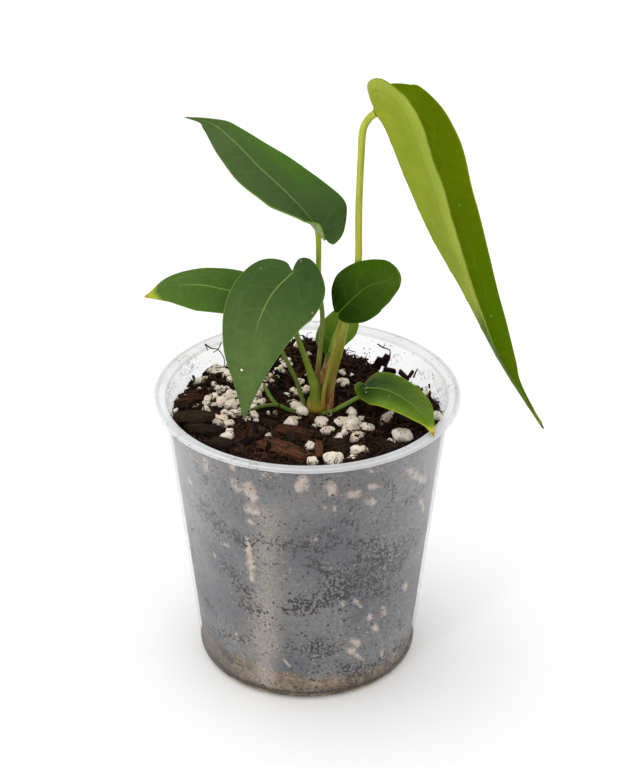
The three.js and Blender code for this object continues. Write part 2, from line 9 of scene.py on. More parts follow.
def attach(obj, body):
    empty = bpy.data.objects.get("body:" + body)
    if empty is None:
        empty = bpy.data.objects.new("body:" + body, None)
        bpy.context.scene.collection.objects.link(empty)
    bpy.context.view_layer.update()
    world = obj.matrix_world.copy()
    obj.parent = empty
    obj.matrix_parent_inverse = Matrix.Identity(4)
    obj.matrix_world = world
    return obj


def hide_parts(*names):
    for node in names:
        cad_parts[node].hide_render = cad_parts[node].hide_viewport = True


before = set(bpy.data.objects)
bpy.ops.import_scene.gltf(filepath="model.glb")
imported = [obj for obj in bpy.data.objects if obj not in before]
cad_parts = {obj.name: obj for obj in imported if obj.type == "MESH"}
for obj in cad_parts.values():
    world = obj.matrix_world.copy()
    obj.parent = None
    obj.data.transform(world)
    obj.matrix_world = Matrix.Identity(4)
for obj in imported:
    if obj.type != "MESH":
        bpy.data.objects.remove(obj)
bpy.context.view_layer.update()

# A young anthurium in a clear plastic pot of bark mix. Sizes are in millimetres until they reach a mesh.
mm = 0.001
scene = bpy.context.scene

# Camera: its place, how far it looks down, and the pixels that a slope of one takes in the picture
view = {"place": (1, -682, 498), "down": 29, "focal": 2000, "width": 619, "height": 768, "sensor": 36}


# A new object in the scene, left at the origin
def addObject(name, data):
    thing = bpy.data.objects.new(name, data)
    scene.collection.objects.link(thing)
    return thing


# The mesh of a bmesh that is done with
def meshFrom(name, bm):
    mesh = bpy.data.meshes.new(name)
    bm.to_mesh(mesh)
    bm.free()
    return mesh


def setCamera():
    lens = bpy.data.cameras.new("camera")
    lens.sensor_width = view["sensor"]
    lens.lens = view["focal"] * view["sensor"] / view["height"]
    eye = addObject("camera", lens)
    eye.location = Vector(view["place"]) * mm
    eye.rotation_euler = (math.radians(90 - view["down"]), 0, 0)
    bpy.context.scene.camera = eye


# Direction of the view through a pixel, one long along the camera's own axis
def lookThrough(px, py):
    down = math.radians(view["down"])
    ahead = Vector((0, math.cos(down), -math.sin(down)))
    above = Vector((0, math.sin(down), math.cos(down)))
    across = (px - view["width"] / 2) / view["focal"]
    rise = (view["height"] / 2 - py) / view["focal"]
    return ahead + Vector((across, 0, 0)) + above * rise


setCamera()
print("camera set")


# Node helpers. They build in the material that was started last, and what a node gives adds, subtracts and
# multiplies like a number.
bench = {"tree": None}


class Value:
    def __init__(self, socket):
        self.socket = socket

    def __add__(self, other):
        return calc("ADD", self, other)

    def __sub__(self, other):
        return calc("SUBTRACT", self, other)

    def __rsub__(self, other):
        return calc("SUBTRACT", other, self)

    def __mul__(self, other):
        return calc("MULTIPLY", self, other)

    def __pow__(self, other):
        return calc("POWER", self, other)

    def __abs__(self):
        return calc("ABSOLUTE", self)


def setInputs(node, sockets):
    for key, value in sockets.items():
        if isinstance(value, Value):
            bench["tree"].links.new(value.socket, node.inputs[key])
        else:
            node.inputs[key].default_value = value


def startMaterial(name, even):
    material = bpy.data.materials.new(name)
    material.use_nodes = True
    bench["tree"] = material.node_tree
    setInputs(material.node_tree.nodes["Principled BSDF"], even)
    return material


# Gives the shader of a material its colour and what else it takes
def finished(material, colour, others):
    setInputs(material.node_tree.nodes["Principled BSDF"], {"Base Color": colour, **others})
    return material


def addNode(kind, output, sockets=None, **settings):
    made = bench["tree"].nodes.new("ShaderNode" + kind)
    for key, value in settings.items():
        setattr(made, key, value)
    setInputs(made, sockets or {})
    return Value(made.outputs[output])


def calc(operation, first, second=0.0):
    return addNode("Math", 0, {0: first, 1: second}, operation=operation)


def larger(first, second):
    return calc("MAXIMUM", first, second)


def smaller(first, second):
    return calc("MINIMUM", first, second)


# How far a value is from the nearest whole number
def offWhole(value):
    return calc("PINGPONG", value, 0.5)


# A value of one at the middle that fades to nothing a little away from it
def ridge(value, middle, full, none, height=1.0):
    return ease(abs(value - middle), full, none, height, 0)


def ease(value, low, high, start=0.0, end=1.0):
    sockets = {"Value": value, "From Min": low, "From Max": high, "To Min": start, "To Max": end}
    return addNode("MapRange", "Result", sockets, interpolation_type="SMOOTHSTEP")


def blendColours(factor, first, second):
    return addNode("Mix", 2, {0: factor, 6: first, 7: second}, data_type="RGBA")


# Colours laid over a ground one after another, each where its mask is. One without a mask is left out.
def layered(ground, *layers):
    for mask, colour in layers:
        if mask:
            ground = blendColours(mask, ground, colour)
    return ground


def speckle(coords, scale, detail=2.0, roughness=0.5):
    sockets = {"Vector": coords, "Scale": scale, "Detail": detail, "Roughness": roughness}
    return addNode("TexNoise", "Fac", sockets)


def cells(coords, scale, feature="F1"):
    return addNode("TexVoronoi", "Distance", {"Vector": coords, "Scale": scale}, feature=feature)


def stretched(coords, turn, scale):
    return addNode("Mapping", "Vector", {"Vector": coords, "Rotation": turn, "Scale": scale})


def objectCoords():
    return addNode("TexCoord", "Object")


def part(vector, axis):
    return addNode("SeparateXYZ", axis, {0: vector})


def uvParts(name):
    place = addNode("UVMap", "UV", uv_map=name)
    return part(place, "X"), part(place, "Y")


def attribute(name):
    return addNode("Attribute", "Fac", attribute_name=name)


def raised(height, strength, distance):
    return addNode("Bump", "Normal", {"Height": height, "Strength": strength, "Distance": distance})


# A colour as the screen shows it, from 0 to 255, in the linear values that a shader takes
def rgb(red, green, blue):
    linear = [v / 3294.6 if v <= 10 else ((v / 255 + 0.055) / 1.055) ** 2.4 for v in (red, green, blue)]
    return (*linear, 1)


# Turns a bmesh or a mesh into a finished piece that stands for its nodes
def keepPiece(name, source, materials, slotName, *nodes):
    mesh = meshFrom(name, source) if isinstance(source, bmesh.types.BMesh) else source
    mesh.name = name
    for i, material in enumerate(materials):
        if i < len(mesh.materials):
            mesh.materials[i] = material
        else:
            mesh.materials.append(material)
    mesh.shade_smooth()
    piece = addObject(name, mesh)
    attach(piece, "root")
    if nodes:
        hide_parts(*nodes)
    return piece


# The mesh of an object with its modifiers applied; the object itself goes
def applied(thing):
    seen = thing.evaluated_get(bpy.context.evaluated_depsgraph_get())
    mesh = bpy.data.meshes.new_from_object(seen)
    bpy.data.objects.remove(thing)
    return mesh


# A point on the smooth curve through the given ones, at a share of its way. Past the ends it goes on as a
# reflection or stands still.
def smoothPoint(points, share, reflected):
    spans = len(points) - 1
    at = min(max(share, 0.0), 1.0) * spans
    k = min(int(at), spans - 1)
    w = at - k
    b = points[k]
    c = points[k + 1]
    a = points[k - 1] if k > 0 else (2 * b - c if reflected else b)
    d = points[k + 2] if k + 2 <= spans else (2 * c - b if reflected else c)
    bend = (2 * a - 5 * b + 4 * c - d) * w * w
    twist = (3 * b - a - 3 * c + d) * w ** 3
    return 0.5 * (2 * b + (c - a) * w + bend + twist)


# Evenly spaced points on that curve, and its length
def evenPath(points, count):
    steps = 600
    knots = [Vector(p) for p in points]
    fine = [smoothPoint(knots, i / steps, True) for i in range(steps + 1)]
    reach = [0.0]
    for i in range(steps):
        reach.append(reach[-1] + (fine[i + 1] - fine[i]).length)
    even = []
    k = 0
    for i in range(count + 1):
        target = reach[-1] * i / count
        while k < steps - 1 and reach[k + 1] < target:
            k += 1
        even.append(fine[k].lerp(fine[k + 1], (target - reach[k]) / (reach[k + 1] - reach[k])))
    return even, reach[-1]


# What a row of values gives at a share of its way
def between(values, share):
    at = min(max(share, 0.0), 1.0) * (len(values) - 1)
    k = min(int(at), len(values) - 2)
    return values[k] + (values[k + 1] - values[k]) * (at - k)


# A round tube along a curve, with its radius running evenly through the given values
def tubeMesh(route, radii, steps, roundness=5):
    points = evenPath(route, steps)[0]
    curve = bpy.data.curves.new("tube", "CURVE")
    curve.dimensions = "3D"
    curve.bevel_depth = mm
    curve.bevel_resolution = roundness
    curve.use_fill_caps = True
    line = curve.splines.new("POLY")
    line.points.add(len(points) - 1)
    for i, (knot, spot) in enumerate(zip(line.points, points)):
        knot.co = (*(spot * mm), 1)
        knot.radius = between(radii, i / steps)
    mesh = applied(addObject("tube", curve))
    bpy.data.curves.remove(curve)
    return mesh


# Pot: a milky clear shell, seen through to the mix. "hiddenMarks" are on the sides and the back.
pot = {
    "rimRadius": 60, "height": 117.4, "rimThickness": 1.8, "mouthRadius": 54.8, "wall": 1.2,
    "shoulderRadius": 55.9, "heelRadius": 44.4, "heelHeight": 3, "footInner": 37.5, "footOuter": 41.5,
    "centreFootRadius": 14, "footRise": 1.8, "drainCount": 8, "drainRadius": 3, "drainCircle": 26,
    "sides": 192, "wallRings": 66, "hiddenMarks": 90,
}
mixGap = 0.3


# The point at an angle round the pot's axis
def around(radius, turn, z):
    return Vector((radius * math.cos(turn), radius * math.sin(turn), z))


def innerRadius(z):
    rise = pot["height"] - pot["rimThickness"] - pot["heelHeight"]
    lean = (pot["shoulderRadius"] - pot["heelRadius"]) / rise
    return pot["heelRadius"] - pot["wall"] + lean * max(z - pot["heelHeight"], 0)


# Mix: level, higher at the front, with a heap behind the plant and a dip at the back right
mix = {
    "level": 105, "frontRise": 5, "heapHeight": 13, "heapCentre": (1, 38), "heapSpread": (15, 9),
    "backDip": 5, "backDipCentre": (34, 40), "backDipSpread": 15, "sides": 240, "rings": 46, "wallRings": 60,
    "crumbs": 3200, "splinters": 1700, "chips": 420, "fibres": 1900,
}


def mixHeight(x, y):
    share = min(max((-y - 15) / 35, 0), 1)
    front = mix["frontRise"] * share * share * (3 - 2 * share)
    heapX = (x - mix["heapCentre"][0]) / mix["heapSpread"][0]
    heapY = (y - mix["heapCentre"][1]) / mix["heapSpread"][1]
    dipX = (x - mix["backDipCentre"][0]) / mix["backDipSpread"]
    dipY = (y - mix["backDipCentre"][1]) / mix["backDipSpread"]
    heap = mix["heapHeight"] * math.exp(-0.5 * (heapX ** 2 + heapY ** 2))
    dip = mix["backDip"] * math.exp(-0.5 * (dipX ** 2 + dipY ** 2))
    lumps = 0.7 * math.sin(0.42 * x + 1.3) * math.sin(0.38 * y) + 0.45 * math.sin(0.9 * x - 0.7 * y)
    return mix["level"] + front + heap - dip + lumps


# Steps along the view through a pixel for as long as a test holds, from a distance or from a height
def walkView(px, py, step, holds, reach=0, height=0):
    eye = Vector(view["place"])
    ray = lookThrough(px, py)
    reach = reach or (height - eye.z) / ray.z
    while holds(eye + ray * reach):
        reach += step
    return eye + ray * reach


def outsideWall(spot):
    return math.hypot(spot.x, spot.y) > innerRadius(spot.z)


# Where that view meets the top of the mix, the near wall from inside, and the far wall inside the mouth
def onMix(px, py):
    return walkView(px, py, 0.2, lambda spot: spot.z > mixHeight(spot.x, spot.y) and spot.y < 60, height=135)


def onWall(px, py):
    return walkView(px, py, 0.1, lambda spot: outsideWall(spot) and spot.y < 0, reach=600)


def onBackWall(px, py):
    return walkView(px, py, -0.1, lambda spot: outsideWall(spot) and spot.y > 0, reach=900)


# Spins a profile of (radius, height) into a closed shape
def spinProfile(bm, profile, sides):
    verts = [bm.verts.new((radius * mm, 0, z * mm)) for radius, z in profile]
    edges = [bm.edges.new(pair) for pair in zip(verts, verts[1:])]
    bmesh.ops.spin(
        bm, geom=verts + edges, cent=(0, 0, 0), axis=(0, 0, 1), angle=2 * math.pi, steps=sides,
        use_merge=True, use_duplicate=False,
    )
    bmesh.ops.remove_doubles(bm, verts=bm.verts, dist=1e-6)
    bmesh.ops.recalc_face_normals(bm, faces=bm.faces)


# A profile with its corners rounded: each corner is (radius, height, rounding)
def rounded(corners, steps=4):
    profile = []
    for i, (radius, z, rounding) in enumerate(corners):
        here = Vector((radius, z))
        if rounding == 0 or i in (0, len(corners) - 1):
            profile.append(here)
            continue
        before = Vector(corners[i - 1][:2])
        after = Vector(corners[i + 1][:2])
        start = here + (before - here).normalized() * rounding
        end = here + (after - here).normalized() * rounding
        for k in range(steps + 1):
            t = k / steps
            profile.append(start * (1 - t) ** 2 + here * 2 * t * (1 - t) + end * t * t)
    return [(p.x, p.y) for p in profile]


# Dark stains where wet mix lies against the wall: pixels from and to, and the width in millimetres
stains = [
    (183, 488, 216, 523, 3.6), (200, 500, 222, 528, 3), (216, 523, 246, 543, 4), (191, 525, 192, 556, 2.6),
    (228, 568, 250, 598, 3.6), (222, 560, 236, 580, 2.2), (330, 592, 362, 580, 6.2),
    (350, 588, 392, 564, 6.6), (385, 570, 424, 526, 5.4), (360, 560, 410, 536, 3.6),
    (318, 534, 372, 545, 3), (300, 607, 314, 606, 4.4), (284, 610, 300, 600, 2.6),
    (318, 645, 332, 650, 3.6), (345, 670, 362, 672, 4), (398, 617, 401, 628, 1.8), (396, 648, 408, 640, 4),
    (210, 628, 242, 640, 3.4), (222, 650, 240, 668, 3.4), (290, 648, 316, 650, 2.2),
    (408, 500, 428, 482, 3.2), (286, 546, 330, 548, 2), (262, 540, 310, 545, 1.6), (203, 596, 216, 612, 3),
    (196, 470, 206, 480, 2.2), (376, 592, 402, 584, 3), (184, 500, 194, 560, 1.6),
    (388, 480, 396, 500, 1.8), (236, 600, 256, 612, 2), (340, 520, 352, 524, 2), (308, 560, 330, 574, 2.4),
    (366, 668, 384, 660, 3), (254, 688, 330, 694, 3), (200, 644, 222, 668, 3), (392, 664, 410, 644, 3),
]
# Pale smears and blurred grains on the wall, the same way
smears = [
    (206, 462, 206, 468, 2.2), (233, 464, 233, 468, 2), (234, 482, 236, 488, 2.4),
    (248, 486, 252, 497, 3.2), (246, 509, 256, 511, 2.1), (249, 521, 252, 523, 1.6),
    (303, 480, 303, 488, 2.8), (298, 486, 299, 488, 1.8), (331, 487, 332, 492, 2.6),
    (350, 495, 358, 494, 2.4), (373, 486, 373, 489, 2.2), (373, 500, 374, 502, 1.8),
    (324, 508, 324, 509, 1.1), (335, 508, 335, 509, 1.1), (314, 537, 314, 541, 1.2),
    (366, 502, 367, 503, 1.1), (371, 471, 371, 472, 1.1), (262, 474, 263, 475, 1), (396, 498, 397, 499, 1),
    (246, 535, 249, 548, 1.2), (248, 548, 252, 566, 2), (250, 566, 252, 580, 1.4), (370, 617, 371, 620, 2),
    (375, 627, 377, 629, 2.2), (383, 607, 385, 614, 1.6), (353, 640, 358, 644, 1.8),
    (347, 650, 352, 652, 1.6), (381, 652, 383, 656, 1.4), (356, 655, 362, 660, 1.2),
    (403, 584, 406, 588, 1.8), (355, 600, 360, 606, 1.2), (222, 543, 228, 545, 1.4),
    (214, 553, 215, 557, 1), (187, 476, 192, 484, 1.6), (408, 470, 426, 482, 2.2), (340, 598, 344, 606, 1),
    (236, 634, 240, 640, 1.2), (284, 660, 290, 666, 1), (196, 640, 206, 656, 2.2),
    (420, 500, 424, 510, 1.6),
]
# Runs of painted reflection, where the wall mirrors a tall light at the front left: pale streaks
runs = [(266, 516, 266, 640, 6), (266, 640, 265, 680, 4.6)]


# One on a line between two points, fading with the distance from it
def segmentPull(spot, start, end, width):
    along = end - start
    t = min(max((spot - start).dot(along) / max(along.length_squared, 1e-9), 0), 1)
    return math.exp(-((spot - start - along * t).length / width) ** 2)


# Clear plastic, a little milky: a thin cover where it is seen straight on, more of it and paler at its
# edges, with brown grime in specks, fine hairs near the top and, on the rim, two grey rings of painted shade
# that leave pale lines between them as painted highlights
def plasticMaterial(name, tone, cover, dirt, ringed):
    material = startMaterial(name, {"Roughness": 0.3, "IOR": 1.5, "Specular IOR Level": 0.35})
    coords = objectCoords()
    height = part(coords, "Z")
    cloud = speckle(coords, 45, 3)
    specks = cells(stretched(coords, (0.5, 0.8, 0.2), (1, 1.9, 0.8)), 430)
    places = speckle(coords, 130, 4, 0.65)
    grime = ease(specks, 0.22, 0.14) * ease(places, 0.57 - dirt, 0.63 - dirt)
    hairs = ridge(speckle(coords, 210, 2), 0.5, 0.008, 0.02) * ease(speckle(coords, 95, 3), 0.56, 0.6)
    grime = larger(grime, hairs * ease(height, 0.104, 0.109, 0, 0.75))
    milk = blendColours(cloud, rgb(tone - 7, tone - 7, tone - 5), rgb(tone + 8, tone + 8, tone + 8))
    if ringed:
        flat = stretched(coords, (0, 0, 0), (1, 1, 0))
        radius = addNode("VectorMath", "Value", {0: flat}, operation="LENGTH")
        # Painted shade: two grey rings on the rim, so that the pale lines beside them read as painted
        # highlights
        top = ridge(radius, 0.0584, 0.0005, 0.0009)
        side = ridge(height, 0.1165, 0.0002, 0.0005) * ease(radius, 0.0594, 0.0598)
        milk = blendColours(larger(top, side), milk, rgb(198, 200, 203))
    edge = addNode("LayerWeight", "Facing", {"Blend": 0.35}) ** 1.8
    above = ease(height, 0.104, 0.108) * ease(part(coords, "Y"), -0.03, -0.01)  # bare wall behind the plant
    milk = blendColours(smaller(edge * (4 - above * 4), 1), milk, rgb(222, 223, 225))
    edge = edge * (ease(height, 0.03, 0.1, 0.12, 0.65) - above * 0.3)
    plain = ease(cloud, 0.3, 0.7, 0.85 * cover, 1.15 * cover) + edge
    ripples = speckle(stretched(coords, (0, 0, 0), (1, 1, 5)), 70, 2) + speckle(coords, 1500, 2) * 0.12
    return finished(material, blendColours(grime, milk, rgb(104, 72, 48)), {
        "Alpha": larger(plain, grime * 0.8), "Normal": raised(ripples, 0.12, 0.0006),
    })


# The inside of the wall below the top of the mix: a grey bloom, paler near the top and, as painted light,
# paler at the right, with wormy dark marks where the mix touches it, soft pale smears, fine specks, pale runs
# of painted reflection and, at the foot, a beige band of wet fines, darker and a little higher on the left.
# The foot itself is all beige.
def filmMaterial(name, heel):
    material = startMaterial(name, {"Roughness": 0.6, "Specular IOR Level": 0.2})
    coords = objectCoords()
    across = part(coords, "X")
    height = part(coords, "Z")
    stain = attribute("stain")
    smear = attribute("smear")
    cloud = speckle(coords, 34, 4)
    medium = speckle(coords, 210, 3, 0.6)
    patches = speckle(coords, 75, 3, 0.6)
    worms = ease(abs(speckle(coords, 480, 2, 0.5) - 0.5) - (stain * 0.04 + 0.012), 0, 0.03, 1, 0)
    gate = speckle(coords, 560, 1) * 0.8 + speckle(coords, 150, 2) * 0.4 + stain * 0.24
    dashes = cells(stretched(coords, (0.7, 0.3, 0.9), (1, 2.2, 1)), 330)
    dashes = ease(dashes, 0.26, 0.16) * ease(patches, 0.44, 0.54)
    marks = larger(worms * ease(gate, 0.66, 0.74), dashes)
    pale = cells(stretched(coords, (0.4, 0.2, 0.1), (1, 1, 1.4)), 440)
    pale = ease(pale, 0.2, 0.1) * ease(speckle(coords, 60, 3), 0.42, 0.58)
    ragged = (speckle(coords, 330, 3, 0.6) - 0.5) * 1.5
    soft = ease(smear + ragged, 0.3, 1.05) * ease(smear, 0.05, 0.4)
    # Painted reflection: pale sparkly runs where the wall would mirror a tall light
    dustAndReflection = attribute("run") * ease(speckle(coords, 1100, 2, 0.7), 0.36, 0.6, 0.3, 1)
    band = 1 if heel else ease(height + across * 0.12 + patches * 0.008 + medium * 0.003, 0.0196, 0.0158)
    fine = cells(stretched(coords, (0.3, 0.6, 0.1), (1, 1.7, 1)), 760)
    fine = ease(fine, 0.25, 0.12) * ease(speckle(coords, 55, 3), 0.42, 0.56)
    grey = blendColours(ease(cloud, 0.35, 0.65), rgb(106, 109, 114), rgb(134, 132, 131))
    grey = layered(
        grey, (ease(height, 0.08, 0.112, 0, 0.3), rgb(168, 158, 150)),
        # Paler towards the right: painted light
        (ease(across, 0.014, 0.05, 0, 0.5), rgb(164, 161, 158)),
        (ease(speckle(coords, 640, 2), 0.36, 0.62, 0, 0.4), rgb(82, 82, 84)), (fine * 0.65, rgb(48, 42, 38)),
    )
    fines = blendColours(ease(medium, 0.35, 0.65), rgb(92, 77, 60), rgb(150, 129, 102))
    fines = layered(
        fines, (ease(across, -0.022, -0.034, 0, 0.55), rgb(70, 62, 52)),
        (ease(speckle(coords, 480, 3, 0.7), 0.54, 0.66, 0, 0.75), rgb(50, 43, 36)),
    )
    colour = layered(
        grey, (band, fines), (dustAndReflection, rgb(172, 164, 154)), (soft * 0.68, rgb(214, 194, 176)),
        (pale * 0.75, rgb(206, 184, 164)), (marks, rgb(11, 10, 10)),
    )
    cover = ease(cloud, 0.3, 0.7, 0.66, 0.78)
    for mask, amount in ((soft, 0.2), (band, 0.2), (pale, 0.3), (marks, 0.4)):
        cover = cover + mask * amount
    return finished(material, colour, {"Alpha": smaller(cover, 1)})


# The pot's shell, marked where the picture shows marks on its wall, with drilled drains
def makePot():
    under = pot["height"] - pot["rimThickness"]
    heel = pot["heelRadius"]
    wall = pot["wall"]
    rise = pot["footRise"]
    corners = [
        (0, 0, 0), (pot["centreFootRadius"], 0, 0.5), (pot["centreFootRadius"] + 1.5, rise, 0.5),
        (pot["footInner"] - 1.5, rise, 0.5), (pot["footInner"], 0, 0.4), (pot["footOuter"], 0, 0.8),
        (heel - 0.3, 1.6, 1.2), (heel + 0.05, pot["heelHeight"] + 1, 0),
        (pot["shoulderRadius"], under, 0.3), (pot["rimRadius"], under, 0.5),
        (pot["rimRadius"], pot["height"], 0.7), (pot["rimRadius"] - 2.2, pot["height"], 0.5),
        (pot["mouthRadius"] + 0.5, pot["height"] - 0.9, 0.5), (pot["mouthRadius"], under - 0.8, 0.6),
    ]
    for i in range(1, pot["wallRings"]):
        z = under - 0.8 + (pot["heelHeight"] + 1 - under + 0.8) * i / pot["wallRings"]
        corners.append((innerRadius(z), z, 0))
    corners += [
        (heel - wall, pot["heelHeight"] + 1, 0.4), (heel - wall - 0.8, wall + 0.5, 0.5),
        (pot["footOuter"] - 0.6, wall, 0.4), (pot["footInner"] + 0.6, wall, 0.4),
        (pot["footInner"] - 0.9, rise + wall, 0.5), (pot["centreFootRadius"] + 0.9, rise + wall, 0.5),
        (pot["centreFootRadius"] - 0.6, wall, 0.5), (0, wall, 0),
    ]
    bm = bmesh.new()
    spinProfile(bm, rounded(corners), pot["sides"])
    layers = [bm.verts.layers.float.new(name) for name in ("stain", "smear", "run")]
    dark, pale, reflectionRuns = [
        [(onWall(x1, y1), onWall(x2, y2), width) for x1, y1, x2, y2, width in rows]
        for rows in (stains, smears, runs)
    ]
    draw = random.Random(5)
    # The sides and the back, which the picture doesn't show, get stains of the same kind
    for i in range(pot["hiddenMarks"]):
        turn = math.radians(draw.uniform(-5, 185))
        z = draw.uniform(12, 100)
        isDark = i % 2 == 0
        tilt = draw.uniform(-0.6, 0.6)
        span = draw.uniform(5, 16) if isDark else draw.uniform(0.3, 3)
        start = around(innerRadius(z), turn, z)
        turn += span / innerRadius(z)
        end = around(innerRadius(z), turn, z + tilt * span)
        width = draw.uniform(2, 5) if isDark else draw.uniform(1, 2.8)
        (dark if isDark else pale).append((start, end, width))
        # Now and then a run of painted reflection as well, running down towards the foot
        if i % 30 == 0:
            foot = Vector((start.x, start.y, 0)) * innerRadius(20) / innerRadius(z) + Vector((0, 0, 20))
            reflectionRuns.append((start, foot, 3.5))
    for vert in bm.verts:
        spot = vert.co / mm
        if math.hypot(spot.x, spot.y) < innerRadius(spot.z) + 0.3 and spot.z > 2:
            for layer, lines in zip(layers, (dark, pale, reflectionRuns)):
                vert[layer] = min(1, sum(segmentPull(spot, *line) for line in lines))
    for face in bm.faces:
        middle = face.calc_center_median() / mm
        radius = math.hypot(middle.x, middle.y)
        inside = radius < innerRadius(middle.z) + 0.25 and middle.z > 2
        edgeHeight = mixHeight(middle.x, middle.y) + 1.2 * noise.noise(middle * 0.4)
        edgeHeight += 5 * min(max((-middle.y - 5) / 25, 0), 1)
        if middle.z > under - 0.5 or middle.z > under - 2 and not inside:
            face.material_index = 1  # the rim
        elif inside and middle.z < edgeHeight:
            face.material_index = 2  # where the mix lies against the wall
        elif middle.z < 3.2:
            face.material_index = 3  # the foot
    materials = [
        plasticMaterial("potWall", 160, 0.09, 0.06, False), plasticMaterial("potRim", 236, 0.46, 0.02, True),
        filmMaterial("wallFilm", False), filmMaterial("potFoot", True),
    ]
    shell = addObject("shell", meshFrom("shell", bm))
    for material in materials:
        shell.data.materials.append(material)
    cutter = bmesh.new()
    bore = pot["drainRadius"] * mm
    for i in range(pot["drainCount"]):
        spot = around(pot["drainCircle"], 2 * math.pi * i / pot["drainCount"], rise)
        bmesh.ops.create_cone(
            cutter, cap_ends=True, segments=24, radius1=bore, radius2=bore, depth=9 * mm,
            matrix=Matrix.Translation(spot * mm),
        )
    drills = addObject("drills", meshFrom("drills", cutter))
    cut = shell.modifiers.new("drains", "BOOLEAN")
    cut.operation = "DIFFERENCE"
    cut.object = drills
    cut.solver = "EXACT"
    mesh = applied(shell)
    bpy.data.objects.remove(drills)
    keepPiece("growPot", mesh, materials, "pot_plastic", "pot")


makePot()
print("pot made")


# Loose bits of the mix are a few small meshes, copied to many places in one piece
def templateFrom(build):
    bm = bmesh.new()
    build(bm)
    mesh = meshFrom("template", bm)
    places = [axis for vert in mesh.vertices for axis in vert.co]
    mesh.attributes.new("grain", "FLOAT_VECTOR", "POINT").data.foreach_set("vector", places)
    return mesh


def pasteCopy(bm, template, matrix, tint, slotIndex=0):
    copy = template.copy()
    copy.transform(matrix)
    layer = copy.attributes.new("tint", "FLOAT", "POINT")
    layer.data.foreach_set("value", [tint] * len(copy.vertices))
    copy.polygons.foreach_set("material_index", [slotIndex] * len(copy.polygons))
    bm.from_mesh(copy)
    bpy.data.meshes.remove(copy)


# Lays a template's length along a direction, rolled about it
def turnedTo(direction, roll):
    return direction.to_track_quat("X", "Z").to_matrix().to_4x4() @ Matrix.Rotation(roll, 4, "X")


# Puts a template at a spot, turned, with its three sizes in millimetres
def placed(spot, turn, size):
    return Matrix.Translation(spot * mm) @ turn @ Matrix.Scale(mm, 4) @ Matrix.Diagonal((*size, 1))


# A splintered board of bark, one unit long: ragged at the ends, split and warped
def barkTemplate(seed, cuts, roundness=0.0):
    def build(bm):
        bmesh.ops.create_cube(bm, size=1)
        bmesh.ops.subdivide_edges(bm, edges=bm.edges, cuts=cuts, use_grid_fill=True)
        draw = random.Random(seed)
        shift = Vector((draw.uniform(0, 50), draw.uniform(0, 50), draw.uniform(0, 50)))
        bend = draw.uniform(-0.25, 0.25)
        for vert in bm.verts:
            x, y, z = vert.co
            end = abs(x) * 2
            inward = max(abs(y), abs(z)) / max(math.hypot(y, z), 1e-6) * (1 - 0.3 * end ** 3)
            y *= 1 + (inward - 1) * roundness
            z *= 1 + (inward - 1) * roundness
            grain = noise.noise(Vector((x * 1.5, y * 9, z * 6)) + shift)
            x += math.copysign(0.22 * end * end * noise.noise(Vector((0, y * 7, z * 7)) + shift * end), x)
            width = 1 - 0.25 * end * end + 0.22 * noise.noise(Vector((x * 3, 0, 0)) + shift)
            y = y * width + bend * x * x
            z = z * (0.8 + 0.5 * noise.noise(Vector((x * 3, y * 3, 9)) + shift)) + 0.16 * grain
            vert.co = Vector((x, y, z))

    return templateFrom(build)


def crumbTemplate(seed, subdivisions=1):
    def build(bm):
        bmesh.ops.create_icosphere(bm, subdivisions=subdivisions, radius=0.5)
        shift = Vector((seed * 7.3, 1, 2))
        for vert in bm.verts:
            vert.co *= 1 + 0.9 * noise.noise(vert.co * 2.6 + shift)

    return templateFrom(build)


# A perlite grain: popped, lobed and pitted
def perliteTemplate(seed):
    def build(bm):
        bmesh.ops.create_icosphere(bm, subdivisions=3, radius=0.5)
        shift = Vector((seed * 3.1, seed * 1.7, 4))
        for vert in bm.verts:
            lobes = noise.noise(vert.co * 2.1 + shift)
            dents = noise.noise(vert.co * 6 + shift)
            pits = max(0, noise.noise(vert.co * 9 - shift) - 0.32)
            vert.co *= 1 + 0.42 * lobes + 0.16 * dents - 0.8 * pits

    return templateFrom(build)


# A bent fibre, one unit long and thin for its length
def fibreTemplate(seed, thickness):
    def build(bm):
        draw = random.Random(seed)
        bmesh.ops.create_circle(bm, cap_ends=True, segments=3, radius=thickness)
        bmesh.ops.rotate(bm, verts=bm.verts, cent=(0, 0, 0), matrix=Matrix.Rotation(math.pi / 2, 3, "Y"))
        bmesh.ops.translate(bm, verts=bm.verts, vec=(-0.5, 0, 0))
        face = bm.faces[:][0]
        bow = draw.uniform(-0.25, 0.25)
        kink = draw.uniform(-0.15, 0.15)
        for i in range(5):
            grown = bmesh.ops.extrude_discrete_faces(bm, faces=[face])["faces"][0]
            bmesh.ops.translate(bm, verts=grown.verts, vec=(0.2, 0, 0))
            face = grown
        for vert in bm.verts:
            x = vert.co.x
            vert.co.y += bow * (0.25 - x * x) + kink * math.sin(9 * x)
            vert.co.z += 0.5 * kink * math.cos(7 * x)
        bmesh.ops.recalc_face_normals(bm, faces=bm.faces)

    return templateFrom(build)


# Bark and fibre: dark, with grain along each bit and a tint of its own
def barkMaterial(name, dark, mid, light, roughness=0.85, grained=False):
    material = startMaterial(name, {"Roughness": roughness, "Specular IOR Level": 0.14})
    coords = objectCoords()
    tint = attribute("tint")
    patches = speckle(coords, 220, 4, 0.6)
    streaks = speckle(stretched(coords, (0.3, 0.2, 0.9), (1, 6, 4)), 420, 3, 0.6)
    if grained:
        grain = addNode("Attribute", "Vector", attribute_name="grain")
        grain = addNode("VectorMath", 0, {0: stretched(grain, (0, 0, 0), (1.6, 15, 15)), 1: tint})
        streaks = speckle(grain, 1, 4, 0.65)
    fine = speckle(coords, 1800, 3, 0.7)
    colour = layered(
        dark, (ease(patches + tint, 0.45, 1.3), mid),
        (ease(streaks, 0.5, 0.72) * ease(tint, 0.35, 0.9), light),
        (ease(fine, 0.3, 0.5, 0.6, 0), rgb(12, 9, 7)),
    )
    return finished(material, colour, {"Normal": raised(streaks * 1.2 + fine, 0.9, 0.0012)})


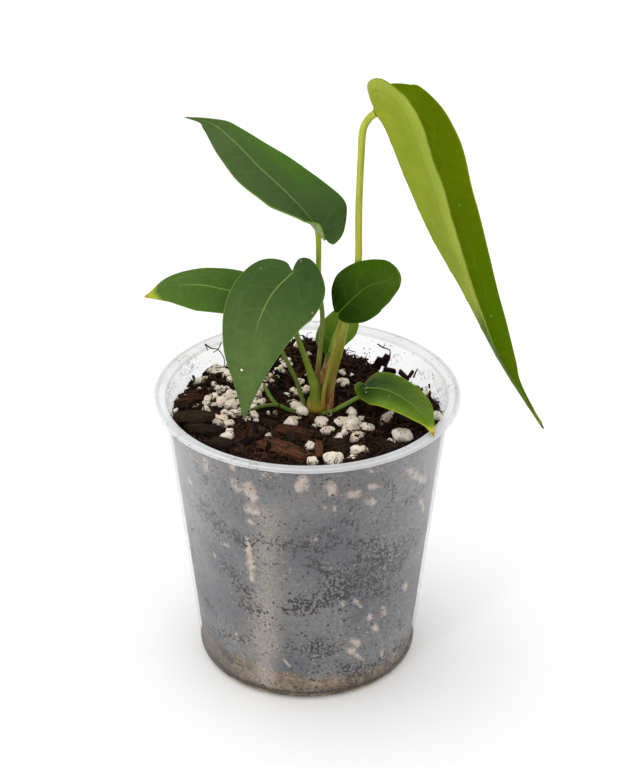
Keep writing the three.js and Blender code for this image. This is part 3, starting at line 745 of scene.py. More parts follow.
# Perlite: cream white, stained and dusty in places, with dark pits
def perliteMaterial():
    material = startMaterial("perlite", {"Roughness": 0.9, "Specular IOR Level": 0.2})
    coords = objectCoords()
    stain = speckle(coords, 150, 4, 0.6)
    dustAndReflection = speckle(coords, 900, 3, 0.65)
    holes = ease(cells(coords, 620), 0.3, 0.18) * ease(speckle(coords, 500, 1), 0.46, 0.54)
    colour = layered(
        rgb(249, 240, 227), (ease(stain, 0.35, 0.7), rgb(226, 206, 182)),
        (ease(dustAndReflection, 0.52, 0.72, 0, 0.6), rgb(168, 132, 100)), (holes, rgb(38, 28, 22)),
    )
    return finished(material, colour, {"Normal": raised(dustAndReflection * 0.8 - holes * 1.5, 0.6, 0.0007)})


soilMaterial = barkMaterial("soil", rgb(24, 18, 13), rgb(66, 49, 36), rgb(136, 106, 78))
chipMaterial = barkMaterial("barkChips", rgb(42, 26, 17), rgb(100, 60, 37), rgb(184, 132, 86), 0.75, True)
logMaterial = barkMaterial("darkBark", rgb(26, 19, 13), rgb(68, 51, 33), rgb(148, 112, 70), 0.7)
perliteFinish = perliteMaterial()

# The bits that the picture shows one by one. Boards, logs and flakes run between two pixels, with a width and
# a thickness in millimetres, a tint and a lift in millimetres.
boards = [
    (263, 446, 306, 461, 8, 2.6, 0.85, 1.4), (277, 432, 311, 438, 5.5, 2.4, 0.5, 1.2),
    (189, 372, 206, 366, 4, 2.4, 0.1, 1.5), (230, 441, 240, 455, 5, 3, 0.2, 0.4),
    (300, 426, 314, 436, 5, 2.6, 0.05, 0.4), (374, 442, 394, 451, 6, 2.6, 0.05, 0.5),
    (330, 448, 345, 440, 5, 2.6, 0.15, 0.5), (375, 401, 392, 410, 5, 2.6, 0.05, 0.6),
    (262, 420, 276, 428, 4, 2.6, 0.1, 0.6), (281, 395, 292, 402, 4, 2.4, 0.1, 0.8),
    (343, 394, 362, 396, 4, 2.2, 0.1, 0.6), (400, 421, 420, 424, 5, 2.6, 0.1, 0.6),
    (296, 440, 312, 444, 3, 1.8, 0.3, 0.8), (285, 456, 309, 463, 3.4, 1.8, 0.6, 1),
]
# Frayed bundles: pixels along each, the bundle's width in millimetres, how many splinters, tint and lift
bundles = [
    (243, 425, 245, 450, 9, 26, 0.35, 0.8), (176, 401, 205, 395, 8, 24, 0.45, 0.8),
    (263, 446, 306, 461, 8, 26, 0.9, 2.6), (276, 432, 311, 439, 6, 16, 0.6, 2),
    (188, 373, 207, 366, 5, 14, 0.25, 1.4), (176, 384, 190, 378, 4, 8, 0.7, 1.2),
    (226, 446, 240, 455, 5, 12, 0.4, 0.8), (330, 446, 352, 442, 5, 12, 0.4, 0.8),
    (372, 446, 398, 440, 5, 12, 0.3, 0.8), (292, 396, 286, 412, 4, 10, 0.35, 0.8),
    (376, 404, 398, 400, 5, 12, 0.3, 0.8), (300, 362, 320, 366, 6, 14, 0.4, 1),
]
logs = [
    (177, 421, 213, 421, 6.4, 5, 0.5, 1.9), (191, 433, 221, 436, 6.4, 5, 0.3, 1.9),
    (209, 446, 233, 449, 5.5, 4.5, 0.3, 1.6), (172, 412, 186, 405, 4, 3, 0.2, 0.8),
    (212, 409, 222, 411, 3, 2.4, 0.1, 0.5),
]
flakes = [
    (318, 446, 319.5, 461, 3.2, 0.8, 1, 2.2), (181.5, 378, 190, 382, 1.6, 0.8, 1, 2.4),
    (183, 382, 190, 388, 1.4, 0.7, 0.8, 1.8),
]
# Bits that cling to the inside of the far wall: the same, without a lift
wallBits = [
    (377, 368, 382, 358, 3.4, 1.8, 0.1), (385, 364, 389, 355, 3, 1.8, 0.15),
    (401, 371, 409, 379, 2.2, 1.2, 0.1), (410, 377, 414, 371, 1.4, 1, 0.6),
    (386, 369, 396, 371, 2.4, 1.6, 0.1), (431, 391, 431.5, 400, 1, 0.8, 0.05),
    (418, 387, 424, 396, 2, 1, 0.9), (430, 384, 430.5, 388, 0.9, 0.7, 0.05),
]
# Thin twigs on the far wall and on the mix: pixels along each, its radius and, on the mix, its lift
wallTwigs = [
    ([(378.4, 343.4), (384, 347), (390.5, 349.7), (391, 358)], 0.32),
    ([(415, 377), (417, 372), (419, 368.5)], 0.4),
    ([(204, 343.7), (210.7, 348), (217, 349), (222.7, 356.7), (224, 366)], 0.28),
    ([(220.5, 342), (217, 349), (212, 352)], 0.24), ([(204, 343.7), (207, 350)], 0.24),
    ([(384, 347), (386, 343)], 0.2),
]
mixTwigs = [
    ([(337, 434.5), (360, 434), (384, 436)], 0.35, 1.6), ([(333, 442), (350, 445), (362, 441)], 0.25, 1),
]


def layBoard(bm, template, rule, slotIndex=0):
    x1, y1, x2, y2, width, thickness, tint, lift = rule
    start = onMix(x1, y1)
    end = onMix(x2, y2)
    along = end - start
    middle = (start + end) / 2 + Vector((0, 0, lift))
    turn = turnedTo(along, 0.25 * math.sin(x1))
    pasteCopy(bm, template, placed(middle, turn, (along.length, width, thickness)), tint, slotIndex)


# The body of the mix, rough on top and dented at the wall, with every bit that has a place of its own
def makeMix():
    profile = [
        (0, 1.5), (pot["centreFootRadius"] - 0.9, 1.5), (pot["centreFootRadius"] + 0.6, 3.3),
        (pot["footInner"] - 0.6, 3.3), (pot["footInner"] + 0.9, 1.5), (pot["footOuter"] - 0.9, 1.5),
        (innerRadius(0) - mixGap - 0.9, 2.2),
    ]
    for i in range(mix["wallRings"] + 1):
        z = 3.1 + (mix["level"] - 3.1) * i / mix["wallRings"]
        profile.append((innerRadius(z) - mixGap - 0.05, z))
    rim = profile[-1][0]
    for i in range(1, mix["rings"]):
        profile.append((rim * (1 - i / mix["rings"]), mix["level"]))
    profile.append((0, mix["level"]))
    bm = bmesh.new()
    spinProfile(bm, profile, mix["sides"])
    tintLayer = bm.verts.layers.float.new("tint")
    for vert in bm.verts:
        spot = vert.co / mm
        radius = math.hypot(spot.x, spot.y)
        if spot.z > mix["level"] - 0.01:
            rough = 1.3 * noise.noise(spot * 0.28) + 0.9 * noise.noise(spot * 0.7)
            rough += 0.5 * noise.noise(spot * 1.7)
            height = mixHeight(spot.x, spot.y)
            share = radius / rim
            grow = 1 + (innerRadius(height) - innerRadius(mix["level"])) / rim * share
            vert.co = Vector((spot.x * grow, spot.y * grow, height + rough - 0.9)) * mm
        elif spot.z > 6:
            height = mixHeight(spot.x, spot.y)
            z = 6 + (spot.z - 6) * (height - 6 - 0.9) / (mix["level"] - 6)
            dent = 0.9 * max(0, noise.noise(spot * 0.13) + 0.7 * noise.noise(spot * 0.4))
            scale = (innerRadius(z) - mixGap - 0.05 - dent) / radius
            vert.co = Vector((spot.x * scale, spot.y * scale, z)) * mm
        vert[tintLayer] = 0.25 + 0.35 * noise.noise(spot * 0.2)
    heroes = [barkTemplate(20 + k, 5) for k in range(5)]
    for i, rule in enumerate(boards):
        layBoard(bm, heroes[i % 5], rule, 1)
    for i, rule in enumerate(logs):
        layBoard(bm, barkTemplate(40 + i, 9, 1), rule, 2)
    for i, rule in enumerate(flakes):
        layBoard(bm, barkTemplate(50 + i, 4), rule, 1)
    draw = random.Random(8)
    slivers = [barkTemplate(80 + k, 2) for k in range(6)]
    for x1, y1, x2, y2, width, count, tint, lift in bundles:
        start = onMix(x1, y1)
        along = onMix(x2, y2) - start
        across = along.cross(Vector((0, 0, 1))).normalized()
        for i in range(count):
            slide = across * draw.uniform(-0.5, 0.5) * width + along * draw.uniform(-0.3, 0.3)
            middle = start + along / 2 + slide + Vector((0, 0, lift * draw.uniform(0.2, 1)))
            aim = along + across * draw.uniform(-0.25, 0.25) * along.length
            aim += Vector((0, 0, draw.uniform(-1, 1)))
            size = (along.length * draw.uniform(0.35, 0.8), draw.uniform(0.6, 1.8), draw.uniform(0.4, 0.9))
            matrix = placed(middle, turnedTo(aim, draw.uniform(-1, 1)), size)
            pasteCopy(bm, slivers[i % 6], matrix, tint + draw.uniform(-0.25, 0.25), 1)
    for x1, y1, x2, y2, width, thickness, tint in wallBits:
        start = onBackWall(x1, y1)
        along = onBackWall(x2, y2) - start
        inward = Vector((-start.x, -start.y, 0)).normalized() * thickness * 0.6
        turn = turnedTo(along, math.pi / 2)
        matrix = placed(start + along / 2 + inward, turn, (along.length, width, thickness))
        pasteCopy(bm, heroes[0], matrix, tint, 1)
    for pixels, radius in wallTwigs:
        spots = [onBackWall(px, py) for px, py in pixels]
        for spot in spots:
            spot.xy *= 1 - (radius + 0.3) / math.hypot(spot.x, spot.y)
        pasteCopy(bm, tubeMesh(spots, [radius, radius * 0.6], 24, 2), Matrix.Identity(4), 0.3, 1)
    for pixels, radius, lift in mixTwigs:
        route = [onMix(px, py) + Vector((0, 0, lift)) for px, py in pixels]
        pasteCopy(bm, tubeMesh(route, [radius, radius * 0.7], 30, 2), Matrix.Identity(4), 1, 1)
    trimOutside(bm)
    keepPiece("barkMix", bm, [soilMaterial, chipMaterial, logMaterial], "mix", "mix")


# A point over the mix, at an angle round the pot's axis
def overMix(radius, turn, lift):
    spot = around(radius, turn, lift)
    spot.z += mixHeight(spot.x, spot.y)
    return spot


def mixSpot(draw, lift):
    radius = (innerRadius(mix["level"]) - 1.2) * math.sqrt(draw.random())
    return overMix(radius, 2 * math.pi * draw.random(), lift)


def anyWay(draw, low, high):
    return Vector((draw.uniform(-1, 1), draw.uniform(-1, 1), draw.uniform(low, high)))


# Crumbs and splinters over the whole top
def makeCrumbs():
    draw = random.Random(12)
    crumbs = [crumbTemplate(k) for k in range(6)]
    splinters = [barkTemplate(60 + k, 1) for k in range(8)]
    bm = bmesh.new()
    for i in range(mix["crumbs"]):
        spot = mixSpot(draw, draw.uniform(-0.9, 0.5))
        size = draw.uniform(0.6, 1.7) * (1.3 if i % 9 == 0 else 1)
        turn = Matrix.Rotation(draw.uniform(0, 6), 4, "Z")
        pasteCopy(bm, crumbs[i % 6], placed(spot, turn, (size, size, size)), draw.random() ** 2)
    for i in range(mix["splinters"]):
        spot = mixSpot(draw, draw.uniform(-0.5, 0.8))
        length = draw.uniform(1.5, 5.5)
        along = anyWay(draw, -0.5, 0.6)
        size = (length, draw.uniform(0.5, 1.4), draw.uniform(0.3, 0.8))
        matrix = placed(spot, turnedTo(along, draw.uniform(0, 3)), size)
        pasteCopy(bm, splinters[i % 8], matrix, draw.random() ** 1.5, 1 if i % 2 == 0 else 0)
    trimOutside(bm)
    keepPiece("mixCrumbs", bm, [soilMaterial, chipMaterial], "mix")


# Chips of bark, and thin fibres lying over them
def makeFibres():
    draw = random.Random(31)
    barks = [barkTemplate(k, 2) for k in range(8)]
    fibres = [fibreTemplate(k, 0.01 + 0.005 * (k % 3)) for k in range(9)]
    bm = bmesh.new()
    for i in range(mix["chips"]):
        spot = mixSpot(draw, draw.uniform(-0.6, 0.5))
        length = draw.uniform(3, 8)
        along = anyWay(draw, -0.4, 0.4)
        size = (length, length * draw.uniform(0.25, 0.55), length * draw.uniform(0.12, 0.28))
        matrix = placed(spot, turnedTo(along, draw.uniform(0, 3)), size)
        pasteCopy(bm, barks[i % 8], matrix, draw.random() ** 2, 1 if i % 4 == 0 else 0)
    for i in range(mix["fibres"]):
        spot = mixSpot(draw, draw.uniform(0, 1.5))
        length = draw.uniform(4, 12)
        along = anyWay(draw, -0.25, 0.3)
        matrix = placed(spot, turnedTo(along, draw.uniform(0, 3)), (length, length, length))
        pasteCopy(bm, fibres[i % 9], matrix, draw.random() ** 1.5, 1)
    trimOutside(bm)
    keepPiece("mixFibres", bm, [soilMaterial, chipMaterial], "mix")


# Anything of the mix that would reach into the wall is drawn in to it
def trimOutside(bm):
    for vert in bm.verts:
        x, y, z = vert.co / mm
        radius = math.hypot(x, y)
        limit = innerRadius(z) - 0.15
        if radius > limit and z > 3:
            vert.co.x *= limit / radius
            vert.co.y *= limit / radius


makeMix()
makeCrumbs()
makeFibres()
print("mix made")

# Perlite grains by the pixel of their middle and their width in pixels, bunch by bunch
grainsSeen = {
    "perlite_left": [
        (199.3, 382.7, 9), (205.5, 378.9, 5.5), (214.7, 384.3, 6.5), (219.4, 389.2, 7), (218.1, 394.6, 6.5),
        (213.4, 396.8, 7), (208.6, 400, 7), (205.9, 404.4, 6), (214, 406, 6.5), (221.6, 403, 9.5),
        (230.3, 397.5, 11.5), (230.8, 405.5, 11), (225.6, 397, 7), (236.8, 404.5, 9), (206.4, 411, 8),
        (208.6, 416.5, 7.5), (224.8, 413.5, 7), (219.4, 421, 12.5), (230.3, 425.6, 10), (229.6, 431.5, 6.5),
        (227.4, 437.4, 9.5), (231.9, 435.5, 6), (235.1, 414.5, 9), (207.5, 370.3, 6), (216.2, 369, 9.5),
        (215, 374, 6.5), (223.8, 371.8, 7), (228.5, 375, 8.5), (230.8, 380, 7), (238, 384, 8),
        (244, 392, 9), (246, 402, 9), (259.5, 389.2, 9), (257.5, 395.7, 9), (261.7, 402.2, 7.5),
        (254.8, 402.2, 8.5), (253.1, 408.8, 8), (254.1, 415.3, 8),
    ],
    "perlite_front": [
        (322.3, 422.3, 12.5), (327.7, 431.8, 10.5), (341, 422.3, 12), (352.6, 425.5, 16), (347, 428, 9),
        (367.3, 428.1, 10.5), (355.2, 438.1, 11), (360, 436, 8), (338.4, 438.6, 9), (352, 412.9, 10),
        (314, 426.6, 5), (304.7, 428.1, 4),
    ],
    "perlite_rim": [
        (357.9, 451.5, 14), (363, 450, 9), (352, 459, 8), (333.7, 459.2, 15), (312.6, 461.3, 9),
        (310, 446.5, 9.5),
    ],
    "perlite_stem": [
        (297, 407, 13), (302, 411, 11), (291, 423.5, 12), (294, 420, 8), (299.7, 419.6, 5),
        (306.5, 389.5, 7.5),
    ],
    "perlite_back": [
        (300.2, 381.6, 7.5), (293.2, 390.9, 7), (296, 396, 6), (343.1, 382.4, 9), (340.5, 371.8, 4),
        (351.5, 375, 3.5),
    ],
    "perlite_right": [
        (402.6, 435, 16.5), (390.5, 443.4, 9), (393.5, 448, 7), (387.3, 418.1, 11), (384, 423, 8),
        (391, 413.5, 7), (437.5, 417, 10), (421, 388, 6), (425.5, 394, 7),
    ],
    "": [
        (174.4, 409.8, 7.5), (185, 396.8, 4), (181.5, 390.3, 4), (183, 373, 4), (269.3, 413, 7),
        (274.7, 413, 5), (319.2, 421.8, 7), (255.8, 421.2, 5), (268.8, 435.3, 6), (209.5, 429, 6),
        (264, 383, 6), (268, 379, 5.5), (266, 386, 5), (271, 376, 6), (275, 373, 5), (278, 370, 6),
        (281, 367, 5), (285, 364, 6), (289, 360, 5), (272, 381, 4.5), (277, 376, 4.5), (283, 371, 4),
        (291, 364, 4), (199, 389, 4), (226, 389, 6), (236, 394, 7), (224, 391, 5), (212, 390, 5),
        (240, 411, 6), (247, 419, 6), (330, 415, 5), (361, 419, 6), (344, 433, 7),
    ],
}
perliteTemplates = [perliteTemplate(k) for k in range(9)]
# How much wider a grain is made than it shows, since it is lobed and part sunk, how far its middle is
# lifted, and how many more lie behind the leaves and round the back of the wall
perlite = {"leftWider": 1.28, "wider": 1.18, "lift": 0.24, "scattered": 26, "behindWall": 70}


# Millimetres in a pixel's width, at a point
def pixelSize(spot):
    down = math.radians(view["down"])
    offset = spot - Vector(view["place"])
    depth = offset.y * math.cos(down) - offset.z * math.sin(down)
    return depth / view["focal"]


def addGrain(bm, draw, spot, size):
    shape = [size * draw.uniform(low, high) for low, high in ((0.95, 1.15), (0.85, 1.1), (0.8, 1))]
    turn = Matrix.Rotation(draw.uniform(0, 6.3), 4, "Z") @ Matrix.Rotation(draw.uniform(-0.6, 0.6), 4, "X")
    template = perliteTemplates[int(draw.random() * len(perliteTemplates))]
    pasteCopy(bm, template, placed(spot, turn, shape), draw.random())


# The bunches that stand for nodes, and the single grains
def makePerlite():
    for node, grains in grainsSeen.items():
        draw = random.Random(len(grains) * 7 + 1)
        bm = bmesh.new()
        for px, py, width in grains:
            low = onMix(px, py + width * 0.25)
            wider = perlite["leftWider" if node == "perlite_left" else "wider"]
            size = wider * width * pixelSize(low)
            addGrain(bm, draw, low + Vector((0, 0, size * perlite["lift"])), size)
        name = node.replace("perlite", "grains")
        if not node:
            name = "grains_scattered"
            for i in range(perlite["scattered"]):
                turn = draw.uniform(0.1, 3.0)
                spot = overMix(draw.uniform(12, 50), turn, -0.2)
                addGrain(bm, draw, spot, draw.uniform(1.6, 3.6))
        trimOutside(bm)
        keepPiece(name, bm, [perliteFinish], "perlite", *([node] if node else []))


makePerlite()
print("perlite made")

# Grains that show through the wall, by pixel and width in pixels
wallGrains = [
    (206, 464, 9), (210, 471, 6), (233, 466, 8), (234, 484, 11), (246, 488, 14), (250, 497, 12),
    (242, 478, 6), (250, 509, 13), (256, 510, 7), (249, 521, 9), (244, 517, 6), (257, 520, 5),
    (303, 484, 12), (299, 487, 7), (331, 489, 13), (326, 487, 7), (355, 494, 12), (350, 497, 7),
    (373, 488, 10), (373, 500, 7), (324, 507, 5), (335, 508, 5), (314, 539, 6), (317, 536, 4),
    (366, 502, 6), (396, 498, 6), (392, 490, 4), (371, 471, 6), (358, 470, 5), (262, 474, 5), (276, 475, 5),
    (370, 619, 8), (376, 629, 8), (384, 610, 6), (355, 640, 7), (348, 651, 6), (381, 654, 5), (360, 652, 6),
    (208, 519, 4), (230, 540, 4), (220, 560, 4), (250, 552, 5), (247, 570, 5), (298, 530, 4), (333, 560, 3),
    (405, 540, 4), (413, 505, 4),
]


def makeWallGrains():
    draw = random.Random(3)
    bm = bmesh.new()
    for px, py, width in wallGrains:
        spot = onWall(px, py)
        size = width * pixelSize(spot)
        inward = Vector((-spot.x, -spot.y, 0)).normalized()
        addGrain(bm, draw, spot + inward * (size * 0.42 + 0.1), size)
    for i in range(perlite["behindWall"]):
        turn = math.radians(draw.uniform(5, 175))
        z = draw.uniform(8, 100)
        size = draw.uniform(1.5, 4.5)
        addGrain(bm, draw, around(innerRadius(z) - size * 0.42 - 0.2, turn, z), size)
    trimOutside(bm)
    keepPiece("grains_at_wall", bm, [perliteFinish], "perlite")


makeWallGrains()
print("wall grains made")

# Leaf blades are drawn flat, as half outlines of (along the midrib, out from it), and then bent. "faces" are
# the ways the upper side looks and "folds" how far each half is lifted, from the base to the tip.
veinLean = 0.6  # how far a side vein runs forward for each step outwards
veinArch = 1.3
rowsPerVein = 8
acrossSteps = 26
stationCount = 160
bladeThickness = 0.55
ribThickness = 1.25
ribWidth = 1.1


# Where the midrib runs, which way it goes and which way the blade looks and lies, station by station
def bladeStations(leaf):
    count = stationCount
    points, length = evenPath(leaf["midrib"], count)
    faces = [Vector(face).normalized() for face in leaf["faces"]]
    stations = []
    for i, origin in enumerate(points):
        ahead = (points[min(i + 1, count)] - points[max(i - 1, 0)]).normalized()
        face = between(faces, i / count)
        face = (face - ahead * face.dot(ahead)).normalized()
        stations.append((origin, ahead, face, ahead.cross(face)))
    return stations, length


# Where a point of the flat blade comes to lie once it is folded, curled and waved
def bent(leaf, stations, length, u, v):
    share = min(max(u / length, 0.0), 1.0)
    at = share * (len(stations) - 1)
    k = min(int(at), len(stations) - 2)
    origin, ahead, face, side = [a.lerp(b, at - k) for a, b in zip(stations[k], stations[k + 1])]
    fold = math.radians(between(leaf["rightFolds"] if v >= 0 else leaf["leftFolds"], share))
    roll = leaf.get("lobeRoll", 0) * min(max(1 - u / 4, 0), 1) if v < 0 else 0
    curl = math.radians(leaf.get("curl", 0.001) + roll)
    out = abs(v)
    across = (math.sin(fold + curl * out) - math.sin(fold)) / curl
    wave = leaf.get("wave", 0) * math.sin(u / 4.2 + (0 if v > 0 else 1.7)) * (out / 12) ** 2
    lift = (math.cos(fold) - math.cos(fold + curl * out)) / curl + wave
    return origin + ahead * (u - share * length) + side * math.copysign(across, v) + face * lift


# Where each row of the blade ends on the outline: a fan round the lobe, and then along the veins
def rowEnds(outline, length, lobeRows, mainRows):
    fine = 900
    knots = [Vector(p) for p in outline]
    edge = [smoothPoint(knots, i / fine, False) for i in range(fine + 1)]
    roots = [p.x - veinLean * p.y for p in edge]
    first = next(i for i, root in enumerate(roots) if root > 0)
    ends = [edge[round(first * i / lobeRows)] for i in range(lobeRows)]
    at = first
    for i in range(mainRows):
        root = max(length * i / mainRows, 0.001)
        while at < fine and roots[at] < root:
            at += 1
        span = roots[at] - roots[at - 1]
        share = min(max((root - roots[at - 1]) / span, 0), 1) if abs(span) > 1e-9 else 1
        ends.append(edge[at - 1].lerp(edge[at], share))
    ends.append(Vector((length, 0)))
    return ends


# A blade: a grid laid flat between the outlines, bent, pressed in along its side veins, and given a thickness
# that grows along the midrib
def makeBlade(name, leaf, materials, slotName, *nodes):
    stations, length = bladeStations(leaf)
    lobeRows = leaf["lobeVeins"] * rowsPerVein
    mainRows = leaf["veins"] * rowsPerVein
    total = lobeRows + mainRows
    ends = {
        1: rowEnds(leaf["rightOutline"], length, lobeRows, mainRows),
        -1: rowEnds(leaf["leftOutline"], length, lobeRows, mainRows),
    }

    def flat(i, j):
        sign = 1 if j >= 0 else -1
        share = (abs(j) / acrossSteps) ** 1.4
        root = length * max(i - lobeRows, 0) / mainRows
        end = ends[sign][i]
        return Vector((root + (end.x - root) * share ** veinArch, sign * end.y * share)), share

    bm = bmesh.new()
    veinMap = bm.loops.layers.uv.new("veins")
    bladeMap = bm.loops.layers.uv.new("blade")
    edgeMap = bm.loops.layers.uv.new("edge")
    relief = bm.verts.layers.float.new("relief")
    weights = bm.verts.layers.deform.verify()
    thin = bladeThickness / ribThickness
    bmesh.ops.create_grid(bm, x_segments=total, y_segments=2 * acrossSteps, size=1)
    places = {}
    for vert in bm.verts:
        places[vert] = (round((vert.co.x + 1) / 2 * total), round(vert.co.y * acrossSteps))
    for vert, (i, j) in places.items():
        spot, share = flat(i, j)
        spacing = (flat(min(i + 1, total), j)[0] - flat(max(i - 1, 0), j)[0]).length * rowsPerVein / 2
        turn = (i - lobeRows) / rowsPerVein
        away = abs(turn - round(turn)) * spacing
        taper = 1 - spot.x / length
        vert[relief] = -0.13 * math.exp(-((away / 0.5) ** 2)) * (1 - share)
        inside = math.exp(-((min(spot.x, 0) / 1.4) ** 2)) * min(i / 8, 1) * (1 - share ** 3)
        vert[relief] += 0.2 * inside * taper * math.exp(-((spot.y / 0.5) ** 2))
        rib = inside * (0.3 + 0.7 * taper) * math.exp(-((spot.y / ribWidth) ** 2))
        vert[weights][0] = thin + (1 - thin) * rib
        for loop in vert.link_loops:
            loop[veinMap].uv = (turn, spacing / 100)
            loop[bladeMap].uv = (spot.x / 100, spot.y / 100)
            loop[edgeMap].uv = (share, spot.x / length)
    for vert, (i, j) in places.items():
        vert.co = bent(leaf, stations, length, *flat(i, j)[0]) * mm
    bmesh.ops.remove_doubles(bm, verts=bm.verts, dist=2e-6)
    bm.normal_update()
    middle = stations[len(stations) // 3][2]
    if sum(face.normal.dot(middle) * face.calc_area() for face in bm.faces) < 0:
        bmesh.ops.reverse_faces(bm, faces=bm.faces)
        bm.normal_update()
    for vert in bm.verts:
        vert.co += vert.normal * vert[relief] * mm
    mesh = meshFrom(name, bm)
    for material in materials:
        mesh.materials.append(material)
    sheet = addObject("sheet", mesh)
    sheet.vertex_groups.new(name="rib")
    solid = sheet.modifiers.new("thickness", "SOLIDIFY")
    solid.thickness = ribThickness / bladeThickness * leaf.get("thickness", bladeThickness) * mm
    solid.offset = -1
    solid.vertex_group = "rib"
    solid.material_offset = 1
    solid.material_offset_rim = 2
    return keepPiece(name, applied(sheet), materials, slotName, *nodes)


# The upper side of a leaf: ground colour, painted light on one half, pale midrib, side veins, fine net,
# thin margin, tip and specks
def upperMaterial(name, look):
    material = startMaterial(name, {"Specular IOR Level": look["gloss"]})
    coords = objectCoords()
    turn, spacing = uvParts("veins")
    along, out = uvParts("blade")
    share, lengthShare = uvParts("edge")
    cloud = speckle(coords, 42, 3)
    mottle = speckle(coords, 380, 3, 0.6)
    bow = offWhole(turn + (speckle(coords, 120) - 0.5) * 0.35)
    away = bow * (spacing * 100)
    vein = ease(away, 0, 0.32, 0.65, 0) + ease(away, 0, 1.1, 0.35, 0)
    vein = vein * ease(share, 0.5, 0.75, 1, 0.15)
    vein = larger(vein, ridge(share, ease(bow, 0, 0.5, 0.6, 0.68), 0, 0.04, 0.6))
    vein = vein * ease(speckle(coords, 75, 2), 0.38, 0.6, 0.35, 1)
    vein = vein * ease(lengthShare, 0.7, 1, look["veins"], 0)
    rib = ease(abs(out) * 100 - (lengthShare * -look["ribTaper"] + look["rib"]), 0, 0.22, 1, 0)
    rib = rib * ease(lengthShare, look["ribEnd"] - 0.2, look["ribEnd"], 1, 0) * ease(along, -0.012, 0)
    grade = lengthShare * look["grade"] + look["gradeStart"] + (cloud - 0.5) * 0.8
    sideLightPainted = None
    # Painted light: one half of the blade made lighter, as if it faced the light
    if look["side"]:
        sideLightPainted = ease(out * look["sideSign"], 0.01, 0.09)
        sideLightPainted = sideLightPainted * ease(lengthShare, look["sideFrom"], look["sideFrom"] + 0.25, 0, 0.75)
    margin = ease(share, 0.975, 0.995) * ease(along * along + out * out, 0.001, 0.003)
    spots = ease(cells(coords, 95), 0.055, 0.035, 0, 0.45)
    spots = larger(spots, ease(cells(coords, 210), 0.06, 0.03, 0, 0.3))
    ground = blendColours(grade, look["dark"], look["light"])
    ground = layered(
        ground, (ease(share, 0.45, 1, 0, look["edgeLight"]), look["edge"]), (sideLightPainted, look["side"]),
        (ease(mottle, 0.35, 0.65, 0, 0.22), look["dark"]), (vein, look["vein"]), (rib, look["ribColour"]),
        (margin * 0.7, look["margin"]), *tipLayers(look, lengthShare, share), (spots, rgb(150, 166, 128)),
    )
    relief = ease(cells(coords, 900, "DISTANCE_TO_EDGE"), 0, 0.12) * 0.25 + vein * -1
    return finished(material, ground, {
        "Normal": raised(relief, 0.35, 0.0004),
        "Roughness": ease(mottle, 0.3, 0.7, look["roughness"] - 0.05, look["roughness"] + 0.08),
    })


# The tip's colour and that of its very point. With the share to the edge given, the tip's bends back there.
def tipLayers(look, lengthShare, share=None):
    reach = lengthShare + share * 0.03 if share else lengthShare
    tip = ease(reach, look["tipStart"], look["tipStart"] + look["tipSpan"])
    point = ease(lengthShare, look["pointStart"], look["pointStart"] + 0.02)
    return (tip, look["tip"]), (point, look["point"])


# The lower side: paler, matt, with a raised midrib and soft side veins
def underMaterial(name, look):
    material = startMaterial(name, {"Roughness": 0.6, "Specular IOR Level": 0.12})
    coords = objectCoords()
    turn, spacing = uvParts("veins")
    out = uvParts("blade")[1]
    share, lengthShare = uvParts("edge")
    cloud = speckle(coords, 40, 3)
    mottle = speckle(coords, 300, 3, 0.6)
    vein = ease(offWhole(turn) * (spacing * 100), 0, 0.5, 1, 0) * ease(share, 0.3, 0.8, 0.35, 0.05)
    for place, amount in ((0.42, 0.3), (0.68, 0.6)):
        vein = larger(vein, ridge(share + (cloud - 0.5) * 0.12, place, 0, 0.03, amount))
    turned = None
    if look["underEnd"]:
        turned = ease(lengthShare + share * 0.06, 0.58, 0.67) * ease(out, 0, 0.02)
    ground = blendColours(ease(cloud, 0.3, 0.7), look["underDark"], look["underLight"])
    ground = layered(
        ground, (ease(mottle, 0.35, 0.65, 0, 0.15), look["underDark"]),
        (ease(share, 0.5, 1, 0, 0.35), look["underPale"]), (vein, look["underVein"]),
        (ease(abs(out) * 100, 0.3, 1.1, 0.8, 0), look["underVein"]), (turned, look["underEnd"]),
        *tipLayers(look, lengthShare),
    )
    return finished(material, ground, {"Normal": raised(vein + mottle * 0.3, 0.3, 0.0004)})


# The rim of a blade between its two sides, dark green near the base as painted shade in the notch
def marginMaterial(name, look):
    material = startMaterial(name, {"Roughness": 0.5, "Specular IOR Level": 0.2})
    along, out = uvParts("blade")
    colour = blendColours(speckle(objectCoords(), 250, 2), look["margin"], look["edge"])
    # Painted shade: the rim turns dark green near the base, in the notch
    colour = blendColours(ease(along * along + out * out, 0.0012, 0.005), look["dark"], colour)
    if look["underEnd"]:
        colour = blendColours(ease(uvParts("edge")[1], 0.58, 0.7), colour, look["underEnd"])
    return finished(material, colour, {})


# A stalk in three colours from its foot up, finely streaked
def stalkMaterial(name, foot, middle, top, low, high):
    material = startMaterial(name, {"Roughness": 0.45, "Specular IOR Level": 0.2})
    coords = objectCoords()
    height = part(coords, "Z")
    half = (low + high) / 2 * mm
    streaks = speckle(stretched(coords, (0, 0, 0), (1, 1, 0.12)), 900, 2)
    colour = layered(
        foot, (ease(height, low * mm, half), middle), (ease(height, half, high * mm), top),
        (ease(streaks, 0.4, 0.65, 0, 0.22), rgb(72, 94, 22)),
        (ease(speckle(coords, 90, 2), 0.5, 0.75, 0, 0.3), rgb(170, 180, 96)),
    )
    return finished(material, colour, {"Normal": raised(streaks, 0.25, 0.0004)})


def makeStalk(name, leaf, material, slotName, node):
    stations, length = bladeStations(leaf)
    stalk = leaf["stalk"]
    station = stations[round(stalk.get("meets", 0.8) / length * (len(stations) - 1))]
    face = station[2]
    end = station[0] - face * 0.55
    bend = end + (Vector(stalk["away"]) if "away" in stalk else -face) * stalk["neck"]
    mesh = tubeMesh([*stalk["route"], bend, end], stalk["radii"], stalk.get("steps", 60))
    keepPiece(name, mesh, [material], slotName, node)
